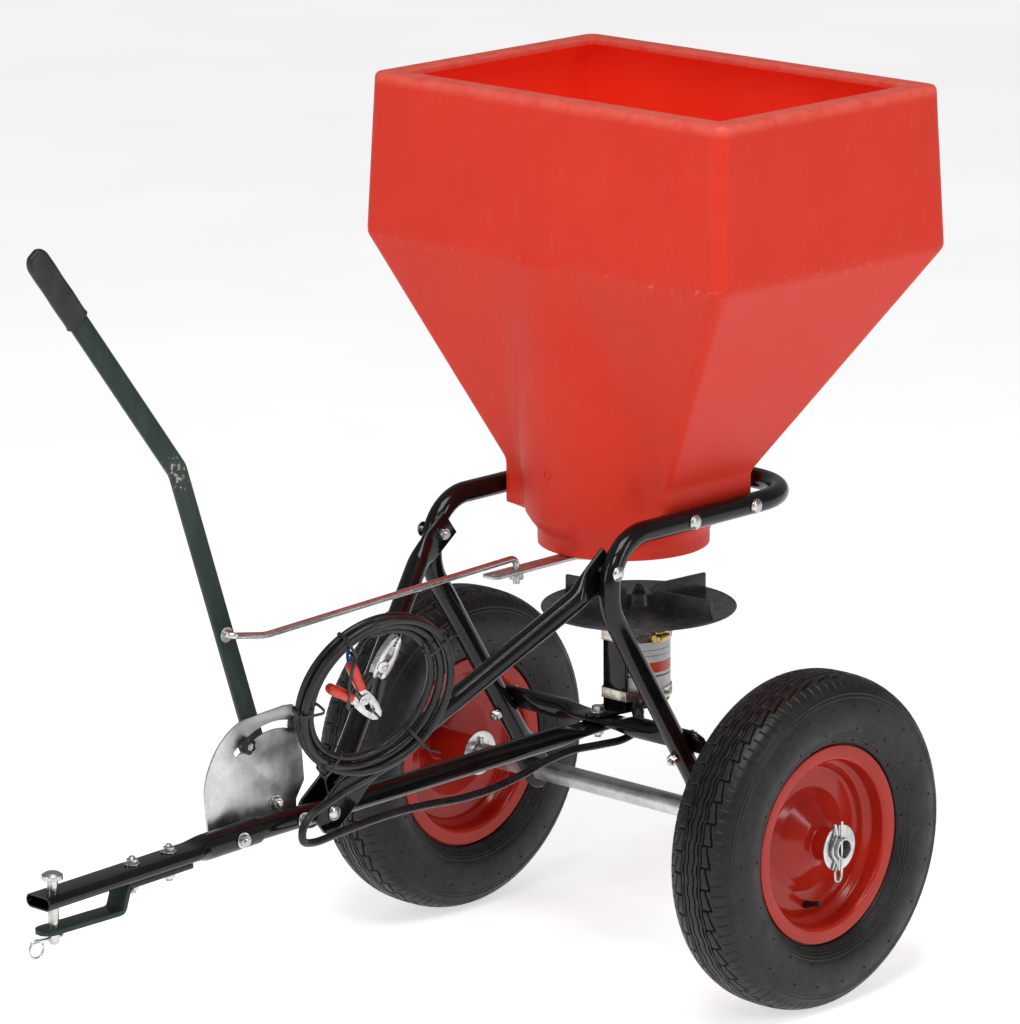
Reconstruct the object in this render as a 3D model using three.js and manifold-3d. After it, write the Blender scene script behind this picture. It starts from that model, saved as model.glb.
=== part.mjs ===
// Tow-behind electric broadcast spreader, in millimetres, +Z up.
// The trailer is drawn with its axle on the X axis at y = 0 and its hitch towards -Y, and the
// whole group is then moved along Y so that the middle of its outline stands on the origin.
// +X is the left-hand side for someone looking forward along the drawbar.

import * as THREE from 'three';
import { mergeVertices } from 'three/addons/utils/BufferGeometryUtils.js';
import Module from 'manifold-3d';

const wasm = await Module();
wasm.setup();

// ---------------------------------------------------------------- driving dimensions

const GAP = 0.3;                    // clearance between pieces that touch
const SIDES = [['left', 1], ['right', -1]];

const REACH_FRONT = 948;            // hitch clip ring, ahead of the axle
const REACH_BACK = 251.7;           // hopper knee, behind the axle
const AXLE_Z = 200;
const AXLE_R = 12.7;
const AXLE_HALF = 349.3;

const WHEEL_X = 289.25;
const TYRE_R = 200;
const TYRE_HALF = 49.5;
const BEAD_R = 101.6;
const FLANGE_R = 118.2;
const HUB_IN = 243;
const HUB_OUT = 338;
const HAIRPIN_X = 344;

const TUBE_R = 12.7;                // every frame tube is 25.4 mm outside
const PRESSED = 4;                  // half the thickness of a tube pressed flat for a bolt
const HITCH_R = 15.5;

const LEG_X = 144;
const LEG_Y = -178;                 // upright stretch of the legs
const LEG_KNEE_Z = 483;
const HOOP_Z = 566;
const HOOP_BACK_Y = 164;
const LEG_BOLT = [LEG_Y, 529];
const CROSS_AT = 107;               // cross tube bolts, up the leg from the axle

const HITCH_TIP = [-932, 276];      // y, z of the hitch tube's open end
const SEAM = [-607, 285.5];         // where the drawbar leaves the hitch tube
const DRAWBAR_START = -678;         // inside the hitch tube
const DRAWBAR_END = [-22, 291.7];
const CENTRE_BOLT_Y = -45;
const PIN_Y = -911;
const STRAP_BOLTS = [['front', -794], ['rear', -739]];
const PLATE_BOLTS = [['front', -640], ['rear', -543]];
const FOOT_BOLT_Y = -501;

const LEVER_PIVOT = [-560, 305];
const LEVER_BEND = [-695, 713];
const LEVER_END = [-898, 985];
const GRIP_LENGTH = 104;
const PLATE_X = -15.8;              // near face of the quadrant plate
const PLATE_T = 3;
const SLOT_R = 90;
const SLOT_ENDS = [-23, 42];        // degrees forward of upright
const STOPS = [['front', 31.4], ['rear', -19.4]];   // degrees forward of upright
const ROD_R = 4;
const ROD_AT_LEVER_Z = 514;
const ROD_END_Y = -183;

const HOPPER_TOP = 1056.3;
const HOPPER_KNEE = 864.9;
const PAD_TOP = 600;
const PAD_BOTTOM = 545;
const SPOUT_BOTTOM = 509;
const HOPPER_WALL = 5.5;
const LIP = 30;                     // width of the in-turned rim
const LIP_T = 7;
const HOPPER_BOLTS = [['front', -47], ['rear', 59]];

const SPIN_Y = 26.3;                // motor and spinner axis
const SPINNER_Z = 425.6;
const SPINNER_R = 116.8;
const MOTOR_R = 38;
const MOTOR_BASE = 307.6;
const MOTOR_TOP = 408;

const COIL_CENTRE = [80.4, -494.4, 435.3];
const COIL_NORMAL = [0.94, -0.166, -0.294];
const COIL_OUT = 104;
const COIL_IN = 78;
const COIL_HALF = 9;
const LEAD_R = 4;

// ---------------------------------------------------------------- finishes

const FINISH = {
  red_plastic: [0xcd3a2a, 0.55, 0],
  red_paint: [0xb5251b, 0.25, 0.1],
  black_paint: [0x101011, 0.25, 0.2],
  green_paint: [0x1c2b28, 0.5, 0.1],
  zinc: [0xb9bcbc, 0.35, 0.9],
  galvanised: [0xa4a8a9, 0.45, 0.8],
  rubber: [0x1b1b1c, 0.8, 0],
  grip: [0x161617, 0.65, 0],
  black_plastic: [0x1d1e20, 0.45, 0],
  pale_enamel: [0xd4d6d8, 0.4, 0.1],
  cable: [0x131313, 0.5, 0],
};

// ---------------------------------------------------------------- small tools

const V = (x, y, z) => new THREE.Vector3(x, y, z);
const X_AXIS = V(1, 0, 0);
const Z_AXIS = V(0, 0, 1);
const rad = THREE.MathUtils.degToRad;

const machine = new THREE.Group();
machine.name = 'tow_behind_spreader';
machine.position.y = (REACH_FRONT - REACH_BACK) / 2;

function add(name, shape, finish, parent = machine) {
  const [color, roughness, metalness] = FINISH[finish];
  const material = new THREE.MeshStandardMaterial({ color, roughness, metalness });
  const geometry = shape.isBufferGeometry ? shape : toGeometry(shape);
  const mesh = new THREE.Mesh(geometry, material);
  mesh.name = name;
  parent.add(mesh);
  return mesh;
}

function toSolid(geometry) {
  const plain = geometry.clone();
  plain.deleteAttribute('normal');
  plain.deleteAttribute('uv');
  const merged = mergeVertices(plain, 1e-4);
  const vertProperties = new Float32Array(merged.attributes.position.array);
  const corners = merged.index.array;
  const kept = [];
  for (let i = 0; i < corners.length; i += 3) {
    const [a, b, c] = corners.slice(i, i + 3);
    if (a !== b && b !== c && c !== a) kept.push(a, b, c);
  }
  const triVerts = new Uint32Array(kept);
  return new wasm.Manifold(new wasm.Mesh({ numProp: 3, vertProperties, triVerts }));
}

function toGeometry(solid) {
  const mesh = solid.getMesh();
  const geometry = new THREE.BufferGeometry();
  const positions = new Float32Array(mesh.vertProperties);
  geometry.setAttribute('position', new THREE.BufferAttribute(positions, 3));
  geometry.setIndex(new THREE.BufferAttribute(new Uint32Array(mesh.triVerts), 1));
  geometry.computeVertexNormals();
  return geometry;
}

// Turns a closed skin's faces outwards, whichever way its outline was drawn.
function outward(geometry) {
  const faces = Array.from(geometry.index.array);
  const corner = (i) => V(0, 0, 0).fromBufferAttribute(geometry.attributes.position, faces[i]);
  let volume = 0;
  for (let i = 0; i < faces.length; i += 3) {
    volume += corner(i).dot(corner(i + 1).cross(corner(i + 2)));
  }
  if (volume < 0) geometry.setIndex(faces.reverse());
  geometry.computeVertexNormals();
  return geometry;
}

// Joins rings of points, each with the same number, into a closed skin. The skin ends in two flat
// caps, or in a ring that meets the first one again when `round` is set.
function loft(rings, round = false) {
  const count = rings[0].length;
  const points = rings.flat();
  const faces = [];
  const last = round ? rings.length : rings.length - 1;
  for (let i = 0; i < last; i++) {
    const low = i * count;
    const high = ((i + 1) % rings.length) * count;
    for (let j = 0; j < count; j++) {
      const next = (j + 1) % count;
      faces.push(low + j, low + next, high + next, low + j, high + next, high + j);
    }
  }
  if (!round) {
    const top = (rings.length - 1) * count;
    for (let j = 1; j < count - 1; j++) {
      faces.push(0, j + 1, j);
      faces.push(top, top + j, top + j + 1);
    }
  }
  const geometry = new THREE.BufferGeometry().setFromPoints(points);
  geometry.setIndex(faces);
  return outward(geometry);
}

// A poly-line whose inner corners are rounded with the given radii.
function bentPath(corners, radii, stepAngle = 22.5) {
  const path = [corners[0]];
  for (let i = 1; i < corners.length - 1; i++) {
    const corner = corners[i];
    const before = corners[i - 1].clone().sub(corner).normalize();
    const after = corners[i + 1].clone().sub(corner).normalize();
    const turn = Math.PI - before.angleTo(after);
    const radius = radii[i - 1];
    const cut = radius * Math.tan(turn / 2);
    const start = corner.clone().addScaledVector(before, cut);
    const middle = before.clone().add(after).normalize();
    const centre = corner.clone().addScaledVector(middle, radius / Math.cos(turn / 2));
    const spoke = start.clone().sub(centre);
    const axle = before.clone().negate().cross(after).normalize();
    const steps = Math.max(2, Math.round(THREE.MathUtils.radToDeg(turn) / stepAngle));
    for (let k = 0; k <= steps; k++) {
      path.push(spoke.clone().applyAxisAngle(axle, (turn * k) / steps).add(centre));
    }
  }
  path.push(corners[corners.length - 1]);
  return path;
}

// Adds points to a path at the given distances from its start (or, if negative, from its end).
function addStations(path, distances) {
  let length = 0;
  const marks = path.map((point, i) => {
    if (i > 0) length += point.distanceTo(path[i - 1]);
    return { point, at: length };
  });
  const total = length;
  for (const distance of distances) {
    const at = distance < 0 ? total + distance : distance;
    const i = marks.findIndex((mark) => mark.at > at);
    if (i < 1 || at - marks[i - 1].at < 0.5 || marks[i].at - at < 0.5) continue;
    const share = (at - marks[i - 1].at) / (marks[i].at - marks[i - 1].at);
    marks.splice(i, 0, { point: marks[i - 1].point.clone().lerp(marks[i].point, share), at });
  }
  return { points: marks.map((mark) => mark.point), at: marks.map((mark) => mark.at), total };
}

// Half the width that a round tube spreads to when it is pressed down to a half thickness.
const pressedWidth = (radius, half) => half + (Math.PI / 2) * (radius - half);

// Sweeps a round section along a path. `size(at, total)` gives the half width, the half thickness
// and the direction of the thickness, so that a tube can be pressed flat where it is bolted.
function sweep(path, size, sides = 12) {
  const { points, at, total } = path;
  let flatWay = null;
  const rings = points.map((point, i) => {
    const ahead = points[Math.min(i + 1, points.length - 1)];
    const behind = points[Math.max(i - 1, 0)];
    const tangent = ahead.clone().sub(behind).normalize();
    const { wide, thin, way } = size(at[i], total);
    if (way) flatWay = way.clone();
    flatWay.addScaledVector(tangent, -flatWay.dot(tangent)).normalize();
    const across = tangent.clone().cross(flatWay);
    const ring = [];
    for (let k = 0; k < sides; k++) {
      const angle = ((k + 0.5) * 2 * Math.PI) / sides;
      const spread = Math.sign(Math.sin(angle)) * (wide - thin);
      const u = thin * Math.cos(angle);
      const v = thin * Math.sin(angle) + spread;
      ring.push(point.clone().addScaledVector(flatWay, u).addScaledVector(across, v));
    }
    return ring;
  });
  return loft(rings);
}

// The size rule of a tube with ends pressed flat: {flat, blend, half, way, wide} at each end.
function pressedEnds(radius, start, end) {
  return (at, total) => {
    for (const [spec, distance] of [[start, at], [end, total - at]]) {
      if (!spec || distance > spec.flat + spec.blend) continue;
      const t = THREE.MathUtils.smoothstep(distance, spec.flat, spec.flat + spec.blend);
      const thin = THREE.MathUtils.lerp(spec.half, radius, t);
      const flatWide = spec.wide ?? pressedWidth(radius, spec.half);
      let wide = THREE.MathUtils.lerp(flatWide, radius, t);
      if (spec.tip && distance < spec.tip) {
        const share = 1 - distance / spec.tip;
        wide = Math.max(thin * 1.05, wide * Math.sqrt(1 - 0.8 * share * share));
      }
      return { wide, thin, way: at === 0 || spec.turn ? spec.way : null };
    }
    return { wide: radius, thin: radius, way: at === 0 ? (start ?? end).way : null };
  };
}

// The size rule of a plain round tube or wire.
function roundSize(radius, way = X_AXIS) {
  return (at) => ({ wide: radius, thin: radius, way: at === 0 ? way : null });
}

// Where a pressed end needs rings: through its blend and round its tip.
function tipStations(spec, sign) {
  if (!spec) return [];
  const marks = [0, 0.35, 0.65, 1].map((share) => spec.flat + spec.blend * share);
  if (spec.tip) marks.push(spec.tip * 0.15, spec.tip * 0.45, spec.tip);
  return marks.map((mark) => mark * sign);
}

function pressedTube(corners, radii, radius, start, end, sides = 12) {
  const marks = [...tipStations(start, 1), ...tipStations(end, -1)];
  const path = addStations(bentPath(corners, radii), marks);
  return sweep(path, pressedEnds(radius, start, end), sides);
}

// A straight round bar between two points.
function bar(from, to, radius, sides = 12) {
  const length = from.distanceTo(to);
  const geometry = new THREE.CylinderGeometry(radius, radius, length, sides);
  geometry.rotateX(Math.PI / 2);
  const turn = new THREE.Quaternion().setFromUnitVectors(Z_AXIS, to.clone().sub(from).normalize());
  geometry.applyQuaternion(turn);
  geometry.translate((from.x + to.x) / 2, (from.y + to.y) / 2, (from.z + to.z) / 2);
  return geometry;
}

// Cuts a round hole, drawn so that its flats clear a shank of the given radius.
function drill(solid, at, axis, shank, length = 90, sides = 8) {
  const radius = (shank + GAP) / Math.cos(Math.PI / sides);
  const half = axis.clone().setLength(length / 2);
  return solid.subtract(toSolid(bar(at.clone().sub(half), at.clone().add(half), radius, sides)));
}

// Extrudes an outline drawn in the YZ plane from x = start towards +X.
function plateYZ(shape, start, thickness) {
  const options = { depth: thickness, bevelEnabled: false, curveSegments: 10 };
  const geometry = new THREE.ExtrudeGeometry(shape, options);
  geometry.rotateX(Math.PI / 2);
  geometry.rotateZ(Math.PI / 2);
  geometry.translate(start, 0, 0);
  return geometry;
}

// Extrudes an outline drawn in the XY plane upwards from z = start.
function plateXY(shape, start, thickness, curveSegments = 10) {
  const options = { depth: thickness, bevelEnabled: false, curveSegments };
  const geometry = new THREE.ExtrudeGeometry(shape, options);
  geometry.translate(0, 0, start);
  return geometry;
}

function polygon(points) {
  return new THREE.Shape(points.map(([x, y]) => new THREE.Vector2(x, y)));
}

function box(width, depth, height, x, y, z) {
  const geometry = new THREE.BoxGeometry(width, depth, height);
  geometry.translate(x, y, z);
  return geometry;
}

// Revolves an outline of [radius, height] points about the Z axis.
function turned(outline, segments = 16) {
  const points = outline.map(([r, z]) => new THREE.Vector2(r, z));
  const geometry = new THREE.LatheGeometry(points, segments);
  geometry.rotateX(Math.PI / 2);
  return outward(geometry);
}

// The same about the X axis, for wheels and washers.
function turnedX(outline, segments) {
  const geometry = turned(outline, segments);
  geometry.rotateY(Math.PI / 2);
  return geometry;
}

const closedLoop = (outline) => [...outline, outline[0]];

function placeAlong(mesh, at, axis) {
  mesh.position.copy(at);
  mesh.quaternion.setFromUnitVectors(Z_AXIS, axis.clone().normalize());
  return mesh;
}

// ---------------------------------------------------------------- fasteners

const BOLT_R = 4;
const HEAD_R = 9;
const HEAD_H = 5;
const NUT_R = 7.5;
const NUT_H = 6.5;
const WASHER_R = 9.2;
const WASHER_T = 2.2;
const THREAD_PAST_NUT = 4;

// A bolt along +Z: its head sits on z = 0 and its nut pulls up from z = -grip.
function bolt(grip, { head = 'dome', nut = true, headR = HEAD_R, headH = HEAD_H } = {}) {
  const end = nut ? -grip - NUT_H - THREAD_PAST_NUT : -grip;
  const outline = [[0, headH], [headR * 0.7, headH * 0.75], [headR, GAP], [BOLT_R, GAP]];
  if (head === 'hex') outline.splice(0, 3, [0, WASHER_T], [WASHER_R, WASHER_T], [WASHER_R, GAP]);
  outline.push([BOLT_R, end], [0, end]);
  let solid = toSolid(turned(outline, 7));
  const hex = (low, high) => {
    const geometry = new THREE.CylinderGeometry(NUT_R, NUT_R, high - low, 6);
    geometry.rotateX(Math.PI / 2);
    geometry.translate(0, 0, (low + high) / 2);
    return toSolid(geometry);
  };
  if (head === 'hex') solid = solid.add(hex(WASHER_T - 0.7, WASHER_T - 0.7 + NUT_H));
  if (nut) solid = solid.add(hex(-grip - GAP - NUT_H, -grip - GAP));
  return solid;
}

function addBolt(name, at, axis, grip, options) {
  return placeAlong(add(name, bolt(grip, options), 'zinc'), at, axis);
}

// ---------------------------------------------------------------- wheels

const TREAD_STEPS = 22;
const ZIGZAG = 2.6;

// A hollow casing, open between its beads, with two zigzag grooves round the tread.
function tyre() {
  const rings = [];
  for (let step = 0; step < TREAD_STEPS; step++) {
    const shift = step % 2 ? ZIGZAG : -ZIGZAG;
    const outline = [];
    for (const side of [1, -1]) {
      const half = [[9 * side + shift, TYRE_R], [12 * side + shift, TYRE_R - 7],
        [15 * side + shift, TYRE_R - 2], [36 * side, 192], [47 * side, 171], [TYRE_HALF * side, 150],
        [42 * side, 128], [31 * side, FLANGE_R + 1.5], [31 * side, BEAD_R + 1.6]];
      outline.push(...(side > 0 ? half : half.reverse()));
      if (side > 0) {
        outline.push([23, BEAD_R + 1.6], [39, 145], [30, 178]);
        outline.push([-30, 178], [-39, 145], [-23, BEAD_R + 1.6]);
      }
    }
    const angle = (step * 2 * Math.PI) / TREAD_STEPS;
    rings.push(outline.map(([x, r]) => V(x, r * Math.sin(angle), -r * Math.cos(angle))));
  }
  return loft(rings, true);
}

const RIM_SEGMENTS = 17;
const HUB_R = 19;

// Two flanges and a drop-centre barrel, with a dished disc that rises to the hub sleeve.
function rim() {
  const bore = AXLE_R + 0.7;
  const hubIn = HUB_IN - WHEEL_X;
  const hubOut = HUB_OUT - WHEEL_X;
  const outline = [[35, FLANGE_R], [31, FLANGE_R], [31, BEAD_R], [16, BEAD_R], [11, 93], [-11, 93],
    [-16, BEAD_R], [-31, BEAD_R], [-31, FLANGE_R], [-35, FLANGE_R], [-34.2, 99], [-15, 99], [-10, 90.4],
    [-6, 90.4], [-3.8, 61], [1.6, 49], [20, 22], [20.5, HUB_R], [hubIn, HUB_R], [hubIn, bore],
    [hubOut, bore], [hubOut, HUB_R], [24.5, HUB_R], [21, 28], [4, 52], [-1, 62], [-1, 87],
    [10, 90.4], [15, 99], [34.2, 99]];
  return turnedX(closedLoop(outline.map(([x, r]) => [r, x])), RIM_SEGMENTS);
}

function washerShape(outer, inner, low, high) {
  return closedLoop([[outer, low], [outer, high], [inner, high], [inner, low]]);
}

const HAIRPIN_R = 1.75;
const WASHER_THICK = 2.5;

// A bent wire clip: a straight leg through the axle and a leg that hugs it.
function hairpin() {
  const hug = AXLE_R + 2.6;
  const corners = [V(0, 0, 33), V(0, 0, -26), V(0, -1, -38), V(0, -11, -38), V(0, -12, -26), V(0, -7, -15),
    V(0, -hug, -5), V(0, -hug, 5), V(0, -8, 19), V(0, -12, 32)];
  const path = addStations(bentPath(corners, [5, 4.5, 4.5, 6, 5, 5, 5, 8], 60), []);
  return sweep(path, roundSize(HAIRPIN_R), 5);
}

const tyreShape = tyre();
const rimShape = rim();
const washer = turnedX(washerShape(27.5, AXLE_R + 0.9, 0, WASHER_THICK), 14);
const hairpinShape = hairpin();

for (const [side, sign] of SIDES) {
  const wheel = new THREE.Group();
  wheel.position.set(sign * WHEEL_X, 0, AXLE_Z);
  wheel.rotation.z = sign > 0 ? 0 : Math.PI;
  machine.add(wheel);
  add(`${side}_tyre`, tyreShape, 'rubber', wheel);
  add(`${side}_rim`, rimShape, 'red_paint', wheel);
  add(`${side}_outer_washer`, washer, 'zinc', wheel).position.x = HUB_OUT - WHEEL_X + GAP;
  add(`${side}_inner_washer`, washer, 'zinc', wheel).position.x = HUB_IN - WHEEL_X - GAP - WASHER_THICK;
  add(`${side}_hairpin`, hairpinShape, 'zinc', wheel).position.x = HAIRPIN_X - WHEEL_X;
}

// The axle is a straight tube. A roll pin through it stops each wheel from moving inwards.
function axle() {
  const pipe = washerShape(AXLE_R, AXLE_R - 2, -AXLE_HALF, AXLE_HALF);
  let solid = toSolid(turnedX(pipe, 14));
  for (const [, sign] of SIDES) {
    solid = drill(solid, V(sign * HAIRPIN_X, 0, 0), Z_AXIS, HAIRPIN_R + 0.15, 40, 6);
    const pinX = sign * (HUB_IN - 6);
    solid = solid.add(toSolid(bar(V(pinX, 0, -20), V(pinX, 0, 20), 2.5, 8)));
  }
  return solid;
}

add('axle', axle(), 'galvanised').position.z = AXLE_Z;

// ---------------------------------------------------------------- cradle frame

// Direction up the lower leg, and the way its cross bolt points (square to the leg, to the front).
const legUp = V(0, LEG_Y, LEG_KNEE_Z - AXLE_Z).normalize();
const crossWay = V(0, -legUp.z, legUp.y);
const crossPoint = V(0, 0, AXLE_Z).addScaledVector(legUp, CROSS_AT);

// One tube makes both legs and the hoop that carries the hopper.
function cradle() {
  const foot = V(LEG_X, 0, AXLE_Z).addScaledVector(legUp, -24);
  const half = [foot, V(LEG_X, LEG_Y, LEG_KNEE_Z), V(LEG_X, LEG_Y, HOOP_Z), V(LEG_X, HOOP_BACK_Y, HOOP_Z)];
  const mirrored = half.map((p) => V(-p.x, p.y, p.z)).reverse();
  const corners = [...half, ...mirrored];
  const radii = [60, 58, 82, 82, 58, 60];
  const end = { flat: 50, blend: 40, half: PRESSED, wide: 21, tip: 22, way: X_AXIS };
  let solid = toSolid(pressedTube(corners, radii, TUBE_R, end, end, 8));
  for (const [, sign] of SIDES) {
    const x = sign * LEG_X;
    solid = drill(solid, V(x, 0, AXLE_Z), X_AXIS, AXLE_R, 60, 16);
    solid = drill(solid, crossPoint.clone().setX(x), crossWay, BOLT_R);
    solid = drill(solid, V(x, ...LEG_BOLT), X_AXIS, BOLT_R);
    for (const [, y] of HOPPER_BOLTS) solid = drill(solid, V(x, y, HOOP_Z), X_AXIS, BOLT_R);
  }
  return solid;
}

add('cradle_frame', cradle(), 'black_paint');

// The drawbar's axis: one line inside the hitch tube, and one from its seam to the centre bolt.
function drawbarZ(y) {
  const [from, to] = y < SEAM[0] ? [HITCH_TIP, SEAM] : [SEAM, DRAWBAR_END];
  return THREE.MathUtils.mapLinear(y, from[0], to[0], from[1], to[1]);
}

const BRACE_X = 128.5;
const FOOT_X = 15.6;
const FOOT_HALF = 2.5;

// A tube from the drawbar's side to the inside of a leg, pressed flat at both ends.
function brace(sign) {
  const slope = V(0, 321, 239).normalize();
  const footBolt = V(sign * FOOT_X, FOOT_BOLT_Y, drawbarZ(FOOT_BOLT_Y));
  const tabBolt = V(sign * BRACE_X, ...LEG_BOLT);
  const along = (bolt, distance) => bolt.clone().addScaledVector(slope, distance);
  const corners = [along(footBolt, -24), along(footBolt, 50), along(tabBolt, -46), along(tabBolt, 18)];
  const foot = { flat: 50, blend: 45, half: FOOT_HALF, wide: 22, tip: 20, way: X_AXIS };
  const tab = { flat: 30, blend: 40, half: FOOT_HALF };
  let solid = toSolid(pressedTube(corners, [50, 50], TUBE_R, foot, tab, 8));
  solid = drill(solid, footBolt, X_AXIS, BOLT_R);
  return drill(solid, tabBolt, X_AXIS, BOLT_R);
}

for (const [side, sign] of SIDES) {
  add(`${side}_brace`, brace(sign), 'black_paint');
  const outward = V(sign, 0, 0);
  const jointGrip = LEG_X + TUBE_R - (BRACE_X - FOOT_HALF);
  addBolt(`${side}_joint_bolt`, V(sign * (LEG_X + TUBE_R), ...LEG_BOLT), outward, jointGrip);
}
const footHalf = FOOT_X + FOOT_HALF;
addBolt('brace_foot_bolt', V(footHalf, FOOT_BOLT_Y, drawbarZ(FOOT_BOLT_Y)), X_AXIS, 2 * footHalf);

// ---------------------------------------------------------------- cross tube

const crossAxis = crossPoint.clone().addScaledVector(crossWay, -(TUBE_R + PRESSED + GAP));
const CROSS_HALF = 168;

// Pressed flat against the legs at its ends, and flat from above at its middle.
function crossTube() {
  const corners = [V(-CROSS_HALF, crossAxis.y, crossAxis.z), V(CROSS_HALF, crossAxis.y, crossAxis.z)];
  const marks = [4, 14, 38, 59, 80];
  const fromMiddle = [-62, -44, -26, 26, 44, 62].map((x) => CROSS_HALF + x);
  const path = addStations(corners, [...marks, ...marks.map((mark) => -mark), ...fromMiddle]);
  const size = (at, total) => {
    const x = at - total / 2;
    const fromEnd = total / 2 - Math.abs(x);
    const nearEnd = 1 - THREE.MathUtils.smoothstep(fromEnd, 38, 80);
    const nearMiddle = 1 - THREE.MathUtils.smoothstep(Math.abs(x), 26, 62);
    const press = Math.max(nearEnd, nearMiddle);
    const thin = THREE.MathUtils.lerp(TUBE_R, PRESSED, press);
    let wide = THREE.MathUtils.lerp(TUBE_R, pressedWidth(TUBE_R, PRESSED), press);
    if (fromEnd < 14) wide *= 1 - 0.45 * (1 - fromEnd / 14) ** 2;
    const turn = THREE.MathUtils.smoothstep(Math.abs(x), 62, 88);
    const way = Z_AXIS.clone().lerp(crossWay.clone().negate(), turn).normalize();
    return { wide, thin, way };
  };
  let solid = toSolid(sweep(path, size, 8));
  solid = drill(solid, V(0, CENTRE_BOLT_Y, crossAxis.z), Z_AXIS, BOLT_R);
  for (const [, sign] of SIDES) {
    solid = drill(solid, crossPoint.clone().setX(sign * LEG_X), crossWay, BOLT_R);
  }
  return solid;
}

add('cross_tube', crossTube(), 'black_paint');
for (const [side, sign] of SIDES) {
  const seat = crossAxis.clone().addScaledVector(crossWay, -PRESSED).setX(sign * LEG_X);
  const grip = 2 * (TUBE_R + PRESSED) + GAP;
  addBolt(`${side}_cross_bolt`, seat, crossWay.clone().negate(), grip, { head: 'hex' });
}

// ---------------------------------------------------------------- drawbar and hitch

const HITCH_THIN = 8;               // half the height of the tube where it is pressed flat
const PIN_R = 6.25;

function hitchTube() {
  const corners = [V(0, ...HITCH_TIP), V(0, ...SEAM)];
  const front = { flat: 225, blend: 22, half: HITCH_THIN, way: Z_AXIS };
  const inner = { flat: 226, blend: 22, half: HITCH_THIN - 2, way: Z_AXIS };
  const past = corners[1].clone().sub(corners[0]).setLength(1);
  const core = [corners[0].clone().sub(past), corners[1].clone().add(past)];
  let solid = toSolid(pressedTube(corners, [], HITCH_R, front, null, 10));
  solid = solid.subtract(toSolid(pressedTube(core, [], TUBE_R + 1, inner, null, 10)));
  solid = drill(solid, V(0, PIN_Y, drawbarZ(PIN_Y)), Z_AXIS, PIN_R);
  for (const [, y] of STRAP_BOLTS) solid = drill(solid, V(0, y, drawbarZ(y)), Z_AXIS, BOLT_R);
  return drill(solid, V(0, PLATE_BOLTS[0][1], drawbarZ(PLATE_BOLTS[0][1])), X_AXIS, BOLT_R);
}

function drawbar() {
  const start = V(0, DRAWBAR_START, drawbarZ(DRAWBAR_START));
  const corners = [start, V(0, ...SEAM), V(0, ...DRAWBAR_END)];
  const marks = [-2, -8, -20, -56, -70, -84, -98];
  const path = addStations(corners, marks);
  const end = { flat: 56, blend: 42, half: PRESSED, way: Z_AXIS, tip: 18 };
  let solid = toSolid(sweep(path, pressedEnds(TUBE_R, null, end), 10));
  solid = drill(solid, V(0, CENTRE_BOLT_Y, drawbarZ(CENTRE_BOLT_Y)), Z_AXIS, BOLT_R);
  for (const y of [PLATE_BOLTS[0][1], PLATE_BOLTS[1][1], FOOT_BOLT_Y]) {
    solid = drill(solid, V(0, y, drawbarZ(y)), X_AXIS, BOLT_R);
  }
  return solid;
}

add('hitch_tube', hitchTube(), 'black_paint');
add('drawbar_tube', drawbar(), 'black_paint');

const STRAP_T = 5.5;
const STRAP_HALF = 14;
const JAW_Z = 244;                  // upper face of the lower jaw

// Flat bar under the hitch tube, cranked down to make the lower jaw of the hitch.
function hitchStrap() {
  const under = (y) => drawbarZ(y) - HITCH_THIN - GAP;
  const top = [[-715, under(-715)], [-812, under(-812)], [-819, JAW_Z], [-933, JAW_Z]];
  const bottom = top.map(([y, z], i) => [y + (i === 1 || i === 2 ? 4 : 0), z - STRAP_T]).reverse();
  const profile = toSolid(plateYZ(polygon([...top, ...bottom]), -STRAP_HALF, 2 * STRAP_HALF));
  const plan = new THREE.Shape();
  plan.moveTo(STRAP_HALF, -700);
  plan.lineTo(-STRAP_HALF, -700);
  plan.lineTo(-STRAP_HALF, -919);
  plan.absarc(0, -919, STRAP_HALF, Math.PI, 2 * Math.PI, false);
  let solid = profile.intersect(toSolid(plateXY(plan, 200, 120)));
  solid = drill(solid, V(0, PIN_Y, JAW_Z), Z_AXIS, PIN_R);
  for (const [, y] of STRAP_BOLTS) solid = drill(solid, V(0, y, 265), Z_AXIS, BOLT_R, 60);
  return solid;
}

add('hitch_strap', hitchStrap(), 'green_paint');
for (const [end, y] of STRAP_BOLTS) {
  const seat = V(0, y, drawbarZ(y) + HITCH_THIN);
  addBolt(`${end}_hitch_bolt`, seat, Z_AXIS, 2 * HITCH_THIN + STRAP_T + 2 * GAP);
}

const PIN_LOW = 224;
const CLIP_Z = 231.5;

// Headed pin with a cross hole below the strap for its clip.
function hitchPin() {
  const top = drawbarZ(PIN_Y) + HITCH_THIN + 22;
  const outline = [[0, top], [8, top - 1], [12, top - 4], [12, top - 8], [PIN_R, top - 9],
    [PIN_R, PIN_LOW + 2], [4.5, PIN_LOW], [0, PIN_LOW]];
  const solid = toSolid(turned(outline, 12));
  return drill(solid, V(0, 0, CLIP_Z), V(0, 1, 0), 2, 40, 8);
}

add('hitch_pin', hitchPin(), 'zinc').position.y = PIN_Y;

// Clip pin along Y with a pull ring ahead of it.
function hitchClip() {
  const ringR = 10;
  const ringY = -REACH_FRONT + ringR + 1.5;
  const ring = new THREE.TorusGeometry(ringR, 1.5, 5, 14);
  ring.rotateY(Math.PI / 2);
  ring.translate(0, ringY, CLIP_Z - 8);
  const pin = bar(V(0, -REACH_FRONT + 4, CLIP_Z), V(0, PIN_Y + 13, CLIP_Z), 2, 8);
  return toSolid(pin).add(toSolid(ring));
}

add('hitch_clip', hitchClip(), 'zinc');

// ---------------------------------------------------------------- quadrant, lever and rod

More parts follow.
